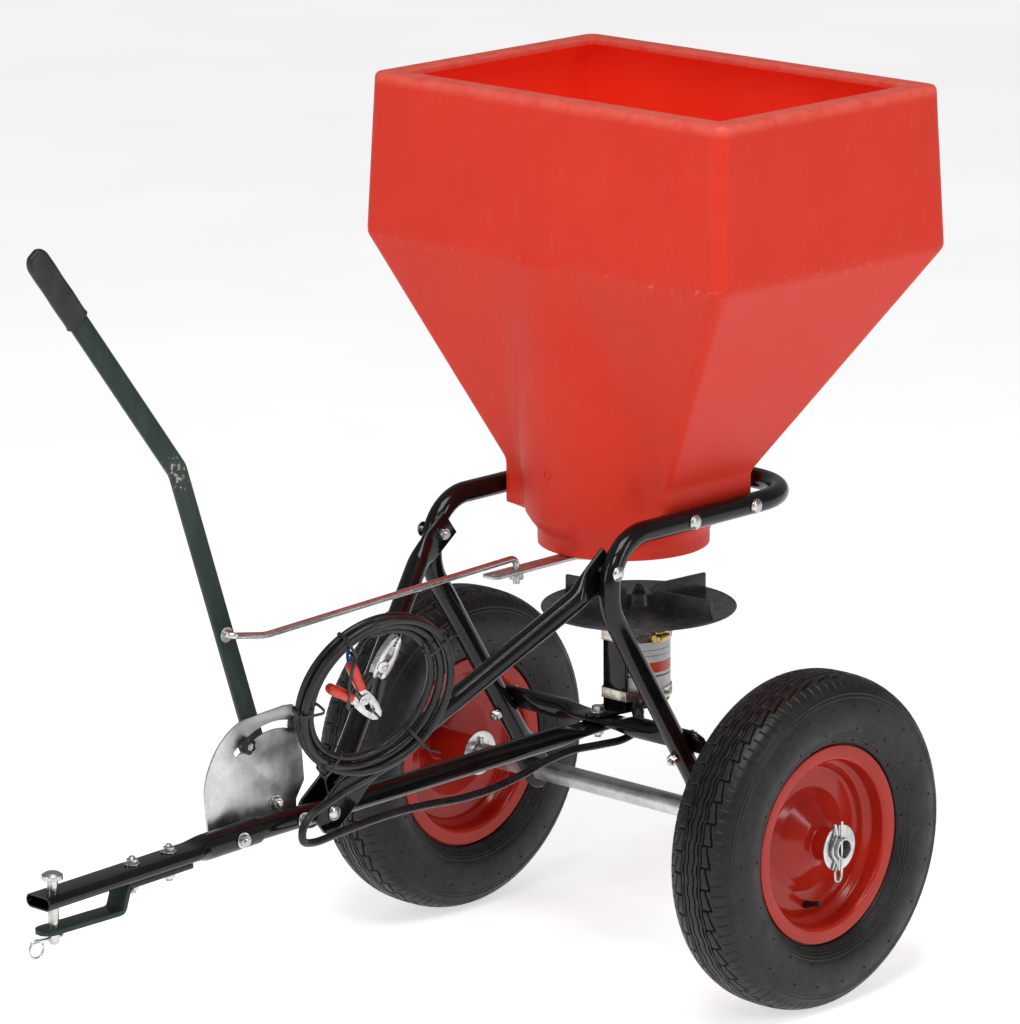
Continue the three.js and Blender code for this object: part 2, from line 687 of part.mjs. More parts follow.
const onQuadrant = (degrees, radius) => [
  LEVER_PIVOT[0] - radius * Math.sin(rad(degrees)), LEVER_PIVOT[1] + radius * Math.cos(rad(degrees))];

// Sector plate with an arc slot for the two stops.
function quadrantPlate() {
  const outline = new THREE.Shape();
  outline.moveTo(-664, 291);
  outline.lineTo(-668, 338);
  outline.bezierCurveTo(-664, 372, -640, 402, -606, 411);
  outline.lineTo(-543, 415);
  outline.quadraticCurveTo(-526, 416, -521, 404);
  outline.lineTo(-514, 322);
  outline.lineTo(-527, 302);
  outline.lineTo(-527, 274);
  outline.lineTo(-650, 273);
  outline.quadraticCurveTo(-664, 275, -664, 291);
  const slotHalf = BOLT_R + 0.6;
  const steps = 9;
  const edge = (radius) => Array.from({ length: steps + 1 }, (_, i) => {
    return new THREE.Vector2(...onQuadrant(THREE.MathUtils.lerp(...SLOT_ENDS, i / steps), radius));
  });
  outline.holes.push(new THREE.Path([...edge(SLOT_R + slotHalf), ...edge(SLOT_R - slotHalf).reverse()]));
  let solid = toSolid(plateYZ(outline, PLATE_X - PLATE_T, PLATE_T));
  solid = drill(solid, V(PLATE_X, ...LEVER_PIVOT), X_AXIS, BOLT_R);
  for (const [, y] of PLATE_BOLTS) {
    solid = drill(solid, V(PLATE_X, y, drawbarZ(y)), X_AXIS, BOLT_R, 40);
  }
  return solid;
}

add('quadrant_plate', quadrantPlate(), 'galvanised');
for (const [end, y] of PLATE_BOLTS) {
  const face = end === 'front' ? HITCH_R : TUBE_R;
  addBolt(`${end}_plate_bolt`, V(face, y, drawbarZ(y)), X_AXIS, face - PLATE_X + PLATE_T);
}

const LEVER_T = 5;
const LEVER_FACE = PLATE_X - PLATE_T - GAP;
const LEVER_HALF = 12.5;
const leverFarX = LEVER_FACE - LEVER_T;
addBolt('lever_pivot_bolt', V(PLATE_X, ...LEVER_PIVOT), X_AXIS, PLATE_X - leverFarX + GAP);

// Flat bar, rounded at the pivot and bent forward half way up.
function leverBar() {
  const pivot = new THREE.Vector2(...LEVER_PIVOT);
  const bend = new THREE.Vector2(...LEVER_BEND);
  const end = new THREE.Vector2(...LEVER_END);
  const low = bend.clone().sub(pivot).normalize();
  const high = end.clone().sub(bend).normalize();
  end.addScaledVector(high, -8);
  const side = (way) => new THREE.Vector2(-way.y, way.x).multiplyScalar(LEVER_HALF);
  const mitre = side(low).add(side(high)).normalize();
  mitre.multiplyScalar(LEVER_HALF / mitre.dot(side(low).normalize()));
  const shape = new THREE.Shape();
  const start = pivot.clone().add(side(low));
  const startAngle = Math.atan2(side(low).y, side(low).x);
  shape.moveTo(start.x, start.y);
  shape.absarc(pivot.x, pivot.y, LEVER_HALF, startAngle, startAngle + Math.PI, false);
  shape.lineTo(bend.x - mitre.x, bend.y - mitre.y);
  shape.lineTo(end.x - side(high).x, end.y - side(high).y);
  shape.lineTo(end.x + side(high).x, end.y + side(high).y);
  shape.lineTo(bend.x + mitre.x, bend.y + mitre.y);
  let solid = toSolid(plateYZ(shape, leverFarX, LEVER_T));
  solid = drill(solid, V(LEVER_FACE, ...LEVER_PIVOT), X_AXIS, BOLT_R, 40);
  return drill(solid, V(LEVER_FACE, ...rodPivot), X_AXIS, ROD_R + 0.1, 40);
}

const rodShare = (ROD_AT_LEVER_Z - LEVER_PIVOT[1]) / (LEVER_BEND[1] - LEVER_PIVOT[1]);
const rodPivot = [THREE.MathUtils.lerp(LEVER_PIVOT[0], LEVER_BEND[0], rodShare), ROD_AT_LEVER_Z];
add('lever_bar', leverBar(), 'green_paint');

// Dipped sleeve over the lever's end: an oval section closed by a rounded tip.
function leverGrip() {
  const length = GRIP_LENGTH;
  const end = V(leverFarX + LEVER_T / 2, ...LEVER_END);
  const along = end.clone().sub(V(end.x, ...LEVER_BEND)).normalize();
  const start = end.clone().addScaledVector(along, -length);
  const path = addStations([start, end], [2, length - 14, length - 6, length - 2]);
  const skin = 3.4;
  const outer = (at, total) => {
    const left = total - at;
    const tip = left < 14 ? Math.sqrt(1 - 0.75 * (1 - left / 14) ** 2) : 1;
    const lead = at < 1 ? 0.94 : 1;
    const thin = (LEVER_T / 2 + skin) * tip * lead;
    return { wide: (LEVER_HALF + skin) * tip * lead, thin, way: X_AXIS };
  };
  const socketEnd = end.clone().addScaledVector(along, -8 + GAP);
  const socket = box(LEVER_T + 2 * GAP, 2 * (LEVER_HALF + GAP), 2 * length, 0, 0, -length);
  socket.applyQuaternion(new THREE.Quaternion().setFromUnitVectors(Z_AXIS, along));
  socket.translate(socketEnd.x, socketEnd.y, socketEnd.z);
  return toSolid(sweep(path, outer, 12)).subtract(toSolid(socket));
}

add('lever_grip', leverGrip(), 'grip');

// Rod from the lever to the gate, turned sideways at the lever and down at the gate.
function controlRod() {
  const [y, z] = rodPivot;
  const corners = [V(leverFarX - 8, y, z), V(-9, y, z), V(-8.5, y + 50, z - 9),
    V(0, ROD_END_Y, 522), V(0, ROD_END_Y, 491)];
  const path = addStations(bentPath(corners, [7, 60, 9], 30), []);
  return sweep(path, roundSize(ROD_R, Z_AXIS), 7);
}

function controlRodWithWasher() {
  const [y, z] = rodPivot;
  const nearWasher = bar(V(LEVER_FACE + GAP, y, z), V(LEVER_FACE + GAP + 2, y, z), 9, 12);
  const farWasher = bar(V(leverFarX - GAP - 2, y, z), V(leverFarX - GAP, y, z), 9, 12);
  return toSolid(controlRod()).add(toSolid(nearWasher)).add(toSolid(farWasher));
}

add('control_rod', controlRodWithWasher(), 'zinc');

const STOP_HEAD_R = 6.5;
const KNOB_T = 11;

// Six-lobed hand knob, drawn by a wave round its edge.
function knob() {
  const rings = [];
  for (const [z, scale] of [[0, 1], [KNOB_T - 3, 1], [KNOB_T, 0.7]]) {
    const ring = [];
    for (let i = 0; i < 18; i++) {
      const angle = (i * Math.PI) / 9;
      const r = scale * (9 + 0.9 * Math.cos(6 * angle));
      ring.push(V(r * Math.cos(angle), r * Math.sin(angle), z));
    }
    rings.push(ring);
  }
  return drill(toSolid(loft(rings)), V(0, 0, 0), Z_AXIS, BOLT_R, 30);
}

const knobShape = toGeometry(knob());
for (const [end, degrees] of STOPS) {
  const at = onQuadrant(degrees, SLOT_R);
  const head = V(PLATE_X - PLATE_T, ...at);
  const options = { nut: false, headR: STOP_HEAD_R, headH: 4.4 };
  addBolt(`${end}_stop_bolt`, head, X_AXIS.clone().negate(), PLATE_T + 8, options);
  placeAlong(add(`${end}_stop_knob`, knobShape, 'black_plastic'), V(PLATE_X + GAP, ...at), X_AXIS);
}

// ---------------------------------------------------------------- hopper

// Directions of the points of a hopper ring, closer together at the corners.
const CORNER_BAND = [0, 16, 27, 32, 37, 50, 70];
const QUARTER_BACK = CORNER_BAND.slice(1).reverse();
const HALF_TURN = [...CORNER_BAND, 90, ...QUARTER_BACK.map((a) => 180 - a)];
const HOPPER_ANGLES = [...HALF_TURN, ...HALF_TURN.map((a) => a + 180)].map(rad);

// Distance from the middle of a rounded rectangle to its edge, in one direction.
function toRectangle(angle, halfX, halfY, corner) {
  const c = Math.abs(Math.cos(angle));
  const s = Math.abs(Math.sin(angle));
  const flatX = halfX / c;
  if (flatX * s <= halfY - corner) return flatX;
  const flatY = halfY / s;
  if (flatY * c <= halfX - corner) return flatY;
  const p = (halfX - corner) * c + (halfY - corner) * s;
  const q = (halfX - corner) ** 2 + (halfY - corner) ** 2 - corner * corner;
  return p + Math.sqrt(p * p - q);
}

// Distance from (0, offset) to a circle about the origin, in one direction.
function toCircle(angle, offset, radius) {
  const along = offset * Math.sin(angle);
  return -along + Math.sqrt(radius * radius - offset * offset + along * along);
}

function softMax(a, b, blend) {
  const h = Math.max(blend - Math.abs(a - b), 0) / blend;
  return Math.max(a, b) + (h * h * blend) / 4;
}

const KNEE = { halfX: 283.8, front: -146.8, back: 251.7, corner: 26 };
const TOP = { halfX: 278.6, front: -138.1, back: 243, corner: 26 };
const PAD = { halfX: 130.5, front: -69, back: 84, corner: 8 };
const CONE = { low: 116, high: 146 };           // radius of the round front at the pads and the knee
const SPOUT_R = 102;
const SPOUT_NECK = 524;             // the funnel ends and the straight spout starts

const CREASE = 14;                  // softness of the crease where the cone leaves a flat side

function between(low, high, share) {
  const mix = (key) => THREE.MathUtils.lerp(low[key], high[key], share);
  return { halfX: mix('halfX'), front: mix('front'), back: mix('back'), corner: mix('corner') };
}

// One ring of the hopper at a height: a rectangle, and under the knee a cone that stands out of it.
function hopperRing(z, inset, levelShift = 0) {
  const level = z - levelShift;
  let rect = null;
  const share = (low, high) => (level - low) / (high - low);
  if (level >= HOPPER_KNEE) rect = between(KNEE, TOP, share(HOPPER_KNEE, HOPPER_TOP));
  else if (level >= PAD_TOP) rect = between(PAD, KNEE, share(PAD_TOP, HOPPER_KNEE));
  else if (level >= PAD_BOTTOM) rect = PAD;
  let cone = null;
  if (level < PAD_BOTTOM) {
    const neck = THREE.MathUtils.smoothstep(level, SPOUT_NECK, PAD_BOTTOM + 4);
    cone = THREE.MathUtils.lerp(SPOUT_R, CONE.low, neck);
  } else if (level < HOPPER_KNEE) {
    cone = THREE.MathUtils.lerp(CONE.low, CONE.high, share(PAD_BOTTOM, HOPPER_KNEE));
  }
  const { front, back } = rect ?? PAD;
  const centreY = (front + back) / 2;
  return HOPPER_ANGLES.map((angle) => {
    const toCone = cone ? toCircle(angle, centreY, cone - inset) : 0;
    let r = toCone;
    if (rect) {
      const halfY = (back - front) / 2;
      const corner = Math.max(rect.corner - inset, 3);
      r = softMax(toRectangle(angle, rect.halfX - inset, halfY - inset, corner), toCone, CREASE);
    }
    return V(r * Math.cos(angle), centreY + r * Math.sin(angle), z);
  });
}

function hopper() {
  const outerLevels = [[HOPPER_TOP, 4], [HOPPER_TOP - 1.5, 1.2], [HOPPER_TOP - 5, 0],
    [HOPPER_KNEE + 5, 0.4], [HOPPER_KNEE - 5, 0.6], [780, 0], [700, 0], [PAD_TOP + 6, -0.6],
    [PAD_TOP - 6, 0], [PAD_BOTTOM, 0], [PAD_BOTTOM - 0.5, 0], [535, 0], [SPOUT_NECK, 0],
    [SPOUT_BOTTOM, 0]];
  const outer = loft(outerLevels.map(([z, inset]) => hopperRing(z, inset)));
  const floorZ = PAD_BOTTOM + HOPPER_WALL;
  const innerLevels = [HOPPER_TOP - LIP_T, HOPPER_KNEE, 780, 700, PAD_TOP, floorZ, floorZ - 0.5,
    536, SPOUT_BOTTOM - 3];
  const inner = loft(innerLevels.map((z) => {
    return hopperRing(z, HOPPER_WALL + 0.5, z <= floorZ ? HOPPER_WALL : 0);
  }));
  const mouthRing = (z, inset) => hopperRing(HOPPER_TOP, inset).map((p) => V(p.x, p.y, z));
  const mouth = loft([mouthRing(HOPPER_TOP - 12, LIP), mouthRing(HOPPER_TOP + 1, LIP)]);
  let solid = toSolid(outer).subtract(toSolid(inner)).subtract(toSolid(mouth));
  for (const [, y] of HOPPER_BOLTS) {
    for (const [, sign] of SIDES) {
      solid = drill(solid, V(sign * (PAD.halfX - HOPPER_WALL / 2), y, HOOP_Z), X_AXIS, BOLT_R, 30);
    }
  }
  return solid;
}

add('hopper', hopper(), 'red_plastic');
for (const [end, y] of HOPPER_BOLTS) {
  for (const [side, sign] of SIDES) {
    const seat = V(sign * (LEG_X + TUBE_R), y, HOOP_Z);
    const grip = LEG_X + TUBE_R - (PAD.halfX - HOPPER_WALL - 2.5);
    addBolt(`${side}_${end}_hopper_bolt`, seat, V(sign, 0, 0), grip);
  }
}

// ---------------------------------------------------------------- outlet and gate

const GATE_TOP = 508.4;
const GATE_T = 3;
const GATE_HALF = 35;
const GATE_STRAP_HALF = 12.5;
const GATE_TIP = -230;
const RAIL_LENGTH = 150;
const OUTLET_Y = 33;
const OUTLET_R = 28;

// Disc inside the spout with the drop hole, and two channel rails that hold the gate under it.
function outletPlate() {
  const disc = new THREE.Shape();
  disc.absarc(0, 0, SPOUT_R - HOPPER_WALL - 2, 0, 2 * Math.PI, false);
  const hole = new THREE.Path();
  hole.absarc(0, OUTLET_Y, OUTLET_R, 0, 2 * Math.PI, true);
  disc.holes.push(hole);
  const low = GATE_TOP + GAP;
  let solid = toSolid(plateXY(disc, low, 3, 16));
  for (const [, sign] of SIDES) {
    const lipZ = GATE_TOP - GATE_T - GAP - 1;
    const webX = sign * (GATE_HALF + GAP + 1.2);
    solid = solid.add(toSolid(box(2, RAIL_LENGTH, low - lipZ + 2, webX, 0, (low + lipZ) / 2)));
    solid = solid.add(toSolid(box(7, RAIL_LENGTH, 2, sign * (GATE_HALF - 1.4), 0, lipZ)));
  }
  return solid;
}

add('outlet_plate', outletPlate(), 'galvanised');

// Sliding gate: a wide blade behind and a narrow strap in front, with a bush for the rod's end.
function gate() {
  const shape = new THREE.Shape();
  shape.moveTo(-GATE_HALF, -5);
  shape.lineTo(-GATE_HALF, -82);
  shape.lineTo(-GATE_STRAP_HALF, -96);
  shape.lineTo(-GATE_STRAP_HALF, GATE_TIP + 10);
  shape.quadraticCurveTo(-GATE_STRAP_HALF, GATE_TIP, 0, GATE_TIP);
  shape.quadraticCurveTo(GATE_STRAP_HALF, GATE_TIP, GATE_STRAP_HALF, GATE_TIP + 10);
  shape.lineTo(GATE_STRAP_HALF, -96);
  shape.lineTo(GATE_HALF, -82);
  shape.lineTo(GATE_HALF, -5);
  let solid = toSolid(plateXY(shape, GATE_TOP - GATE_T, GATE_T, 6));
  const bush = bar(V(0, ROD_END_Y, GATE_TOP - GATE_T - 9), V(0, ROD_END_Y, GATE_TOP), 8.5, 12);
  solid = solid.add(toSolid(bush));
  solid = drill(solid, V(0, ROD_END_Y, GATE_TOP), Z_AXIS, ROD_R + 0.7, 40, 12);
  return drill(solid, V(0, GATE_TIP + 8.5, GATE_TOP), Z_AXIS, 3, 20, 10);
}

add('gate_slide', gate(), 'galvanised');

// ---------------------------------------------------------------- motor and spinner

const STRAP_Y = SPIN_Y - MOTOR_R - GAP;   // back of the upright strap
const MOUNT_STRAP_T = 4.7;
const mountLow = crossAxis.z + PRESSED + GAP;
const mountTop = MOTOR_BASE - GAP;

// Foot plate bolted over the cross tube, with an upright strap that the clamps hold the motor to.
function motorMount() {
  const foot = new THREE.Shape();
  foot.moveTo(-15, CENTRE_BOLT_Y);
  foot.absarc(0, CENTRE_BOLT_Y, 15, Math.PI, 2 * Math.PI, false);
  foot.lineTo(21, STRAP_Y - 6);
  foot.absarc(0, SPIN_Y, MOTOR_R - 12, -0.35, Math.PI + 0.35, false);
  foot.lineTo(-21, STRAP_Y - 6);
  let solid = toSolid(plateXY(foot, mountLow, mountTop - mountLow));
  const strapTop = MOTOR_TOP - 6;
  const strap = box(36, MOUNT_STRAP_T, strapTop - mountLow, 0, 0, (strapTop + mountLow) / 2);
  strap.translate(0, STRAP_Y - MOUNT_STRAP_T / 2, 0);
  solid = solid.add(toSolid(strap));
  return drill(solid, V(0, CENTRE_BOLT_Y, mountTop), Z_AXIS, BOLT_R);
}

add('motor_mount', motorMount(), 'black_paint');
const mountGrip = mountTop - (drawbarZ(CENTRE_BOLT_Y) - PRESSED);
addBolt('mount_bolt', V(0, CENTRE_BOLT_Y, mountTop), Z_AXIS, mountGrip, { head: 'hex' });

const SHAFT_R = 4;
const BOSS_TOP = 415;

function motor() {
  const shaftBore = SHAFT_R + GAP;
  const outline = [[0, MOTOR_BASE], [30, MOTOR_BASE], [MOTOR_R - 1, MOTOR_BASE + 3],
    [MOTOR_R - 1, MOTOR_BASE + 14], [MOTOR_R, MOTOR_BASE + 15], [MOTOR_R, MOTOR_TOP - 3],
    [MOTOR_R - 3, MOTOR_TOP], [17, MOTOR_TOP], [15, BOSS_TOP], [shaftBore, BOSS_TOP],
    [shaftBore, MOTOR_TOP - 14], [0, MOTOR_TOP - 14]];
  return turned(outline, 18);
}

add('motor_can', motor(), 'pale_enamel').position.y = SPIN_Y;

const BAND_HEIGHT = 12.7;

// A worm-drive band round the motor and its strap, with the screw housing on one side.
function hoseClamp() {
  const height = BAND_HEIGHT;
  const band = (grow) => {
    const r = MOTOR_R + GAP + grow;
    const corner = [18.3 + grow, STRAP_Y - MOUNT_STRAP_T - GAP - grow - SPIN_Y];
    const far = Math.hypot(...corner);
    const tangent = Math.atan2(corner[1], corner[0]) + Math.acos(r / far);
    const points = [[-corner[0], corner[1]], corner];
    const steps = 12;
    for (let i = 0; i <= steps; i++) {
      const angle = THREE.MathUtils.lerp(tangent, Math.PI - tangent, i / steps);
      points.push([r * Math.cos(angle), r * Math.sin(angle)]);
    }
    return points;
  };
  const shape = polygon(band(1.1));
  shape.holes.push(new THREE.Path(band(0).map(([x, y]) => new THREE.Vector2(x, y))));
  const screwR = MOTOR_R + GAP + 5.4;
  const at = [screwR * Math.cos(rad(-8)), screwR * Math.sin(rad(-8))];
  const screw = bar(V(at[0], at[1] - 13, height / 2), V(at[0], at[1] + 11, height / 2), 5, 8);
  const saddle = box(6, 12, height - 1, at[0] - 1.8, at[1], height / 2);
  return toSolid(plateXY(shape, 0, height)).add(toSolid(screw)).add(toSolid(saddle));
}

// The saddle reaches into the band only, so it is cut back to the motor's radius.
function trimmedClamp() {
  const core = turned([[0, -5], [MOTOR_R + GAP, -5], [MOTOR_R + GAP, 20], [0, 20]], 28);
  return toGeometry(hoseClamp().subtract(toSolid(core)));
}

const clampShape = trimmedClamp();
for (const [level, z] of [['lower', 317], ['upper', MOTOR_TOP - 20]]) {
  add(`${level}_hose_clamp`, clampShape, 'zinc').position.set(0, SPIN_Y, z);
}

const FIN_HEIGHT = 21;
const FIN_END = SPINNER_R * 0.92;
const FIN_AT = [6, 85, 187, 264];
const HUB_TOP = SPINNER_Z + FIN_HEIGHT - 6;

// Disc with four upright fins and a hub.
function spinner() {
  const bore = SHAFT_R + 0.15;
  const outline = [[bore, SPINNER_Z - 3], [SPINNER_R - 4, SPINNER_Z - 2.6], [SPINNER_R, SPINNER_Z - 3.4],
    [SPINNER_R, SPINNER_Z - 0.6], [SPINNER_R - 3, SPINNER_Z], [18, SPINNER_Z], [16, HUB_TOP],
    [bore, HUB_TOP]];
  let solid = toSolid(turned(closedLoop(outline), 22));
  const shape = new THREE.Shape();
  shape.moveTo(14, -1.5);
  shape.lineTo(FIN_END, -1.5);
  shape.lineTo(FIN_END, FIN_HEIGHT - 3);
  shape.quadraticCurveTo(FIN_END, FIN_HEIGHT, FIN_END - 3, FIN_HEIGHT);
  shape.lineTo(30, FIN_HEIGHT);
  shape.lineTo(14, FIN_HEIGHT - 8);
  for (const degrees of FIN_AT) {
    const fin = new THREE.ExtrudeGeometry(shape, { depth: 3, bevelEnabled: false, curveSegments: 4 });
    fin.rotateX(Math.PI / 2);
    fin.translate(0, 1.5, SPINNER_Z);
    fin.rotateZ(rad(degrees));
    solid = solid.add(toSolid(fin));
  }
  return solid;
}

add('spinner_disc', spinner(), 'black_plastic').position.y = SPIN_Y;

// Motor shaft that carries the spinner, with the cap nut that holds it down.
function motorShaft() {
  const seat = HUB_TOP + GAP;
  const outline = [[0, MOTOR_TOP - 13], [SHAFT_R, MOTOR_TOP - 13], [SHAFT_R, seat], [8, seat],
    [8, seat + 1.6], [6.5, seat + 1.6], [6.5, seat + 7], [4, seat + 10], [0, seat + 11]];
  return turned(outline, 12);
}

add('motor_shaft', motorShaft(), 'zinc').position.y = SPIN_Y;

// ---------------------------------------------------------------- power lead

const coilTurn = new THREE.Quaternion().setFromUnitVectors(Z_AXIS, V(...COIL_NORMAL).normalize());

// Closed solid of the coil's outer shape.
function leadCoil() {
  const c = 3;
  const outline = [[COIL_IN + c, -COIL_HALF], [COIL_OUT - c, -COIL_HALF], [COIL_OUT, c - COIL_HALF],
    [COIL_OUT, COIL_HALF - c], [COIL_OUT - c, COIL_HALF], [COIL_IN + c, COIL_HALF],
    [COIL_IN, COIL_HALF - c], [COIL_IN, c - COIL_HALF]];
  return turned(closedLoop(outline), 22);
}

const coil = add('lead_coil', leadCoil(), 'cable');
coil.position.set(...COIL_CENTRE);
coil.quaternion.copy(coilTurn);

// From the motor's base, forward beside the drawbar, round a U-turn and back up to the coil.
const LEAD_ROUTE = [
  [24.2, -2.6, 312.3], [29, -8.5, 312.3], [36, -14, 308], [40, -18, 299], [41, -23, 288], [39, -40, 281],
  [35, -80, 281], [30, -120, 282],
  [28, -165, 277], [26, -205, 268],
  [25, -250, 262], [24, -300, 261], [24, -350, 265], [25, -400, 268], [27, -450, 268], [29, -500, 266],
  [31, -545, 264], [35, -566, 271], [38, -569, 286], [38, -557, 299], [38, -535, 307], [38, -505, 316],
  [41, -475, 324], [46, -450, 333], [53, -428, 343],
];

function leadRun() {
  const curve = new THREE.CatmullRomCurve3(LEAD_ROUTE.map((p) => V(...p)), false, 'centripetal');
  const section = new THREE.Shape();
  section.absarc(0, 0, LEAD_R, 0, 2 * Math.PI, false);
  const options = { steps: 34, extrudePath: curve, bevelEnabled: false, curveSegments: 7 };
  return new THREE.ExtrudeGeometry(section, options);
}

add('lead_run', leadRun(), 'cable');

// ---------------------------------------------------------------- battery clamps

const JAW_W = 9;

// Half of a spring clamp, seen from the side: jaw towards +X, handle towards -X, pivot at the origin.
function clampHalf(sign) {
  const profile = [[-44, 13], [-40, 16], [-12, 8.5], [10, 10.5], [28, 7], [38, 0.6], [24, 1.2],
    [12, 4.6], [-9, 3.6], [-24, 6.6]];
  const shape = polygon(profile.map(([x, y]) => [x, sign * y]));
  const geometry = new THREE.ExtrudeGeometry(shape, { depth: JAW_W, bevelEnabled: false });
  geometry.translate(0, 0, -JAW_W / 2);
  return geometry;
}

// The fixed half carries the pivot pin, and the other half turns on it.
function fixedHalf() {
  const pin = bar(V(0, 0, -JAW_W / 2 - 3), V(0, 0, JAW_W / 2 + 3), 2.5, 10);
  const bridge = box(9, 5, JAW_W + 5.6, 0, 6.4, 0);
  const lugs = [-1, 1].map((side) => box(9, 11, 2, 0, 3.5, side * (JAW_W / 2 + 1.8)));
  return [pin, bridge, ...lugs].reduce((solid, piece) => solid.add(toSolid(piece)), toSolid(clampHalf(1)));
}

function movingHalf() {
  const ear = box(7, 8.4, JAW_W, 0, -1.8, 0);
  const solid = toSolid(clampHalf(-1)).add(toSolid(ear));
  return drill(solid, V(0, 0, 0), Z_AXIS, 2.5, 30, 10);
}

const fixedShape = toGeometry(fixedHalf());
const movingShape = toGeometry(movingHalf());

// Each clamp lies just inside the coil, in the coil's plane, turned by an angle within it.
const CLAMPS = [['red', [-6, -22], 35, 4.5], ['black', [-30, 14], 150, -8.5]];

for (const [name, [u, v], turn, lift] of CLAMPS) {
  const holder = new THREE.Group();
  holder.position.set(u, v, lift);
  holder.rotation.z = rad(turn);
  coil.add(holder);
  add(`${name}_clamp`, fixedShape, 'zinc', holder);
  add(`${name}_clamp_jaw`, movingShape, 'zinc', holder);
}

export default machine;
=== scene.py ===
"""Looks of the tow behind spreader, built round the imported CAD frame.

Lengths are in millimetres with the axle at y = 0, as in the CAD source, until piece() writes a mesh:
there they become metres in the row frame.
"""

import math

import bmesh
import bpy
import numpy as np
from mathutils import Matrix, Quaternion, Vector


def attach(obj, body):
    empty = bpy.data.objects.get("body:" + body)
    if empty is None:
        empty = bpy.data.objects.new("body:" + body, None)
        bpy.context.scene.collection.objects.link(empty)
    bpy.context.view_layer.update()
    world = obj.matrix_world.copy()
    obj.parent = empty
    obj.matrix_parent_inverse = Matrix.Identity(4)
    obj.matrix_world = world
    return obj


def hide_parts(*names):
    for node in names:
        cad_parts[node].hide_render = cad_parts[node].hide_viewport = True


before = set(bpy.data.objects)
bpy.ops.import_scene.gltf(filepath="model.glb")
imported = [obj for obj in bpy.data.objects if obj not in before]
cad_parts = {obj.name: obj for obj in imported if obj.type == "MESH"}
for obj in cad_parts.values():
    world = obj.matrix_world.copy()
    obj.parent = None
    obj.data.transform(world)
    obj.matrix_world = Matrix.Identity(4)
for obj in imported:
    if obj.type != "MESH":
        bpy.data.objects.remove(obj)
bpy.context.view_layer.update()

MM = 0.001
SHIFT_Y = 348.15                 # the axle stands this far behind the middle of the outline
GAP = 0.3                        # clearance left between neighbouring parts
SIDES = (("left", 1), ("right", -1))
X, Y, Z = Vector((1, 0, 0)), Vector((0, 1, 0)), Vector((0, 0, 1))


def to_row(points):
    return (np.asarray(points, float).reshape(-1, 3) + (0, SHIFT_Y, 0)) * MM


def add_object(name, data):
    made = bpy.data.objects.new(name, data)
    bpy.context.scene.collection.objects.link(made)
    return made


# ---------------------------------------------------------------- camera

LENS, SENSOR = 212.04, 36
CAMERA_AT = (4.72010, -4.71619, 2.25048)
CAMERA_RIGHT, CAMERA_BACK = (0.71916, 0.69482, -0.00583), (0.67563, -0.69730, 0.23935)


def make_camera():
    data = bpy.data.cameras.new("camera")
    data.lens, data.sensor_width = LENS, SENSOR
    data.clip_start, data.clip_end = 0.1, 100
    camera = add_object("camera", data)
    right, back = Vector(CAMERA_RIGHT).normalized(), Vector(CAMERA_BACK).normalized()
    up = back.cross(right).normalized()
    turn = Matrix((right, up, back)).transposed()
    camera.matrix_world = Matrix.Translation(CAMERA_AT) @ turn.to_4x4()
    bpy.context.scene.camera = camera


make_camera()

# ---------------------------------------------------------------- materials

# painted light: the first number is the emission strength on the hopper's inside walls; the second keeps
# the floor evenly bright
PAINTED_INSIDE_GLOW, FLOOR_GLOW = 0.38, 0.68
WORLD_LIGHT, WORLD_SEEN = 0.26, 1.0      # on the object, and as the camera sees it


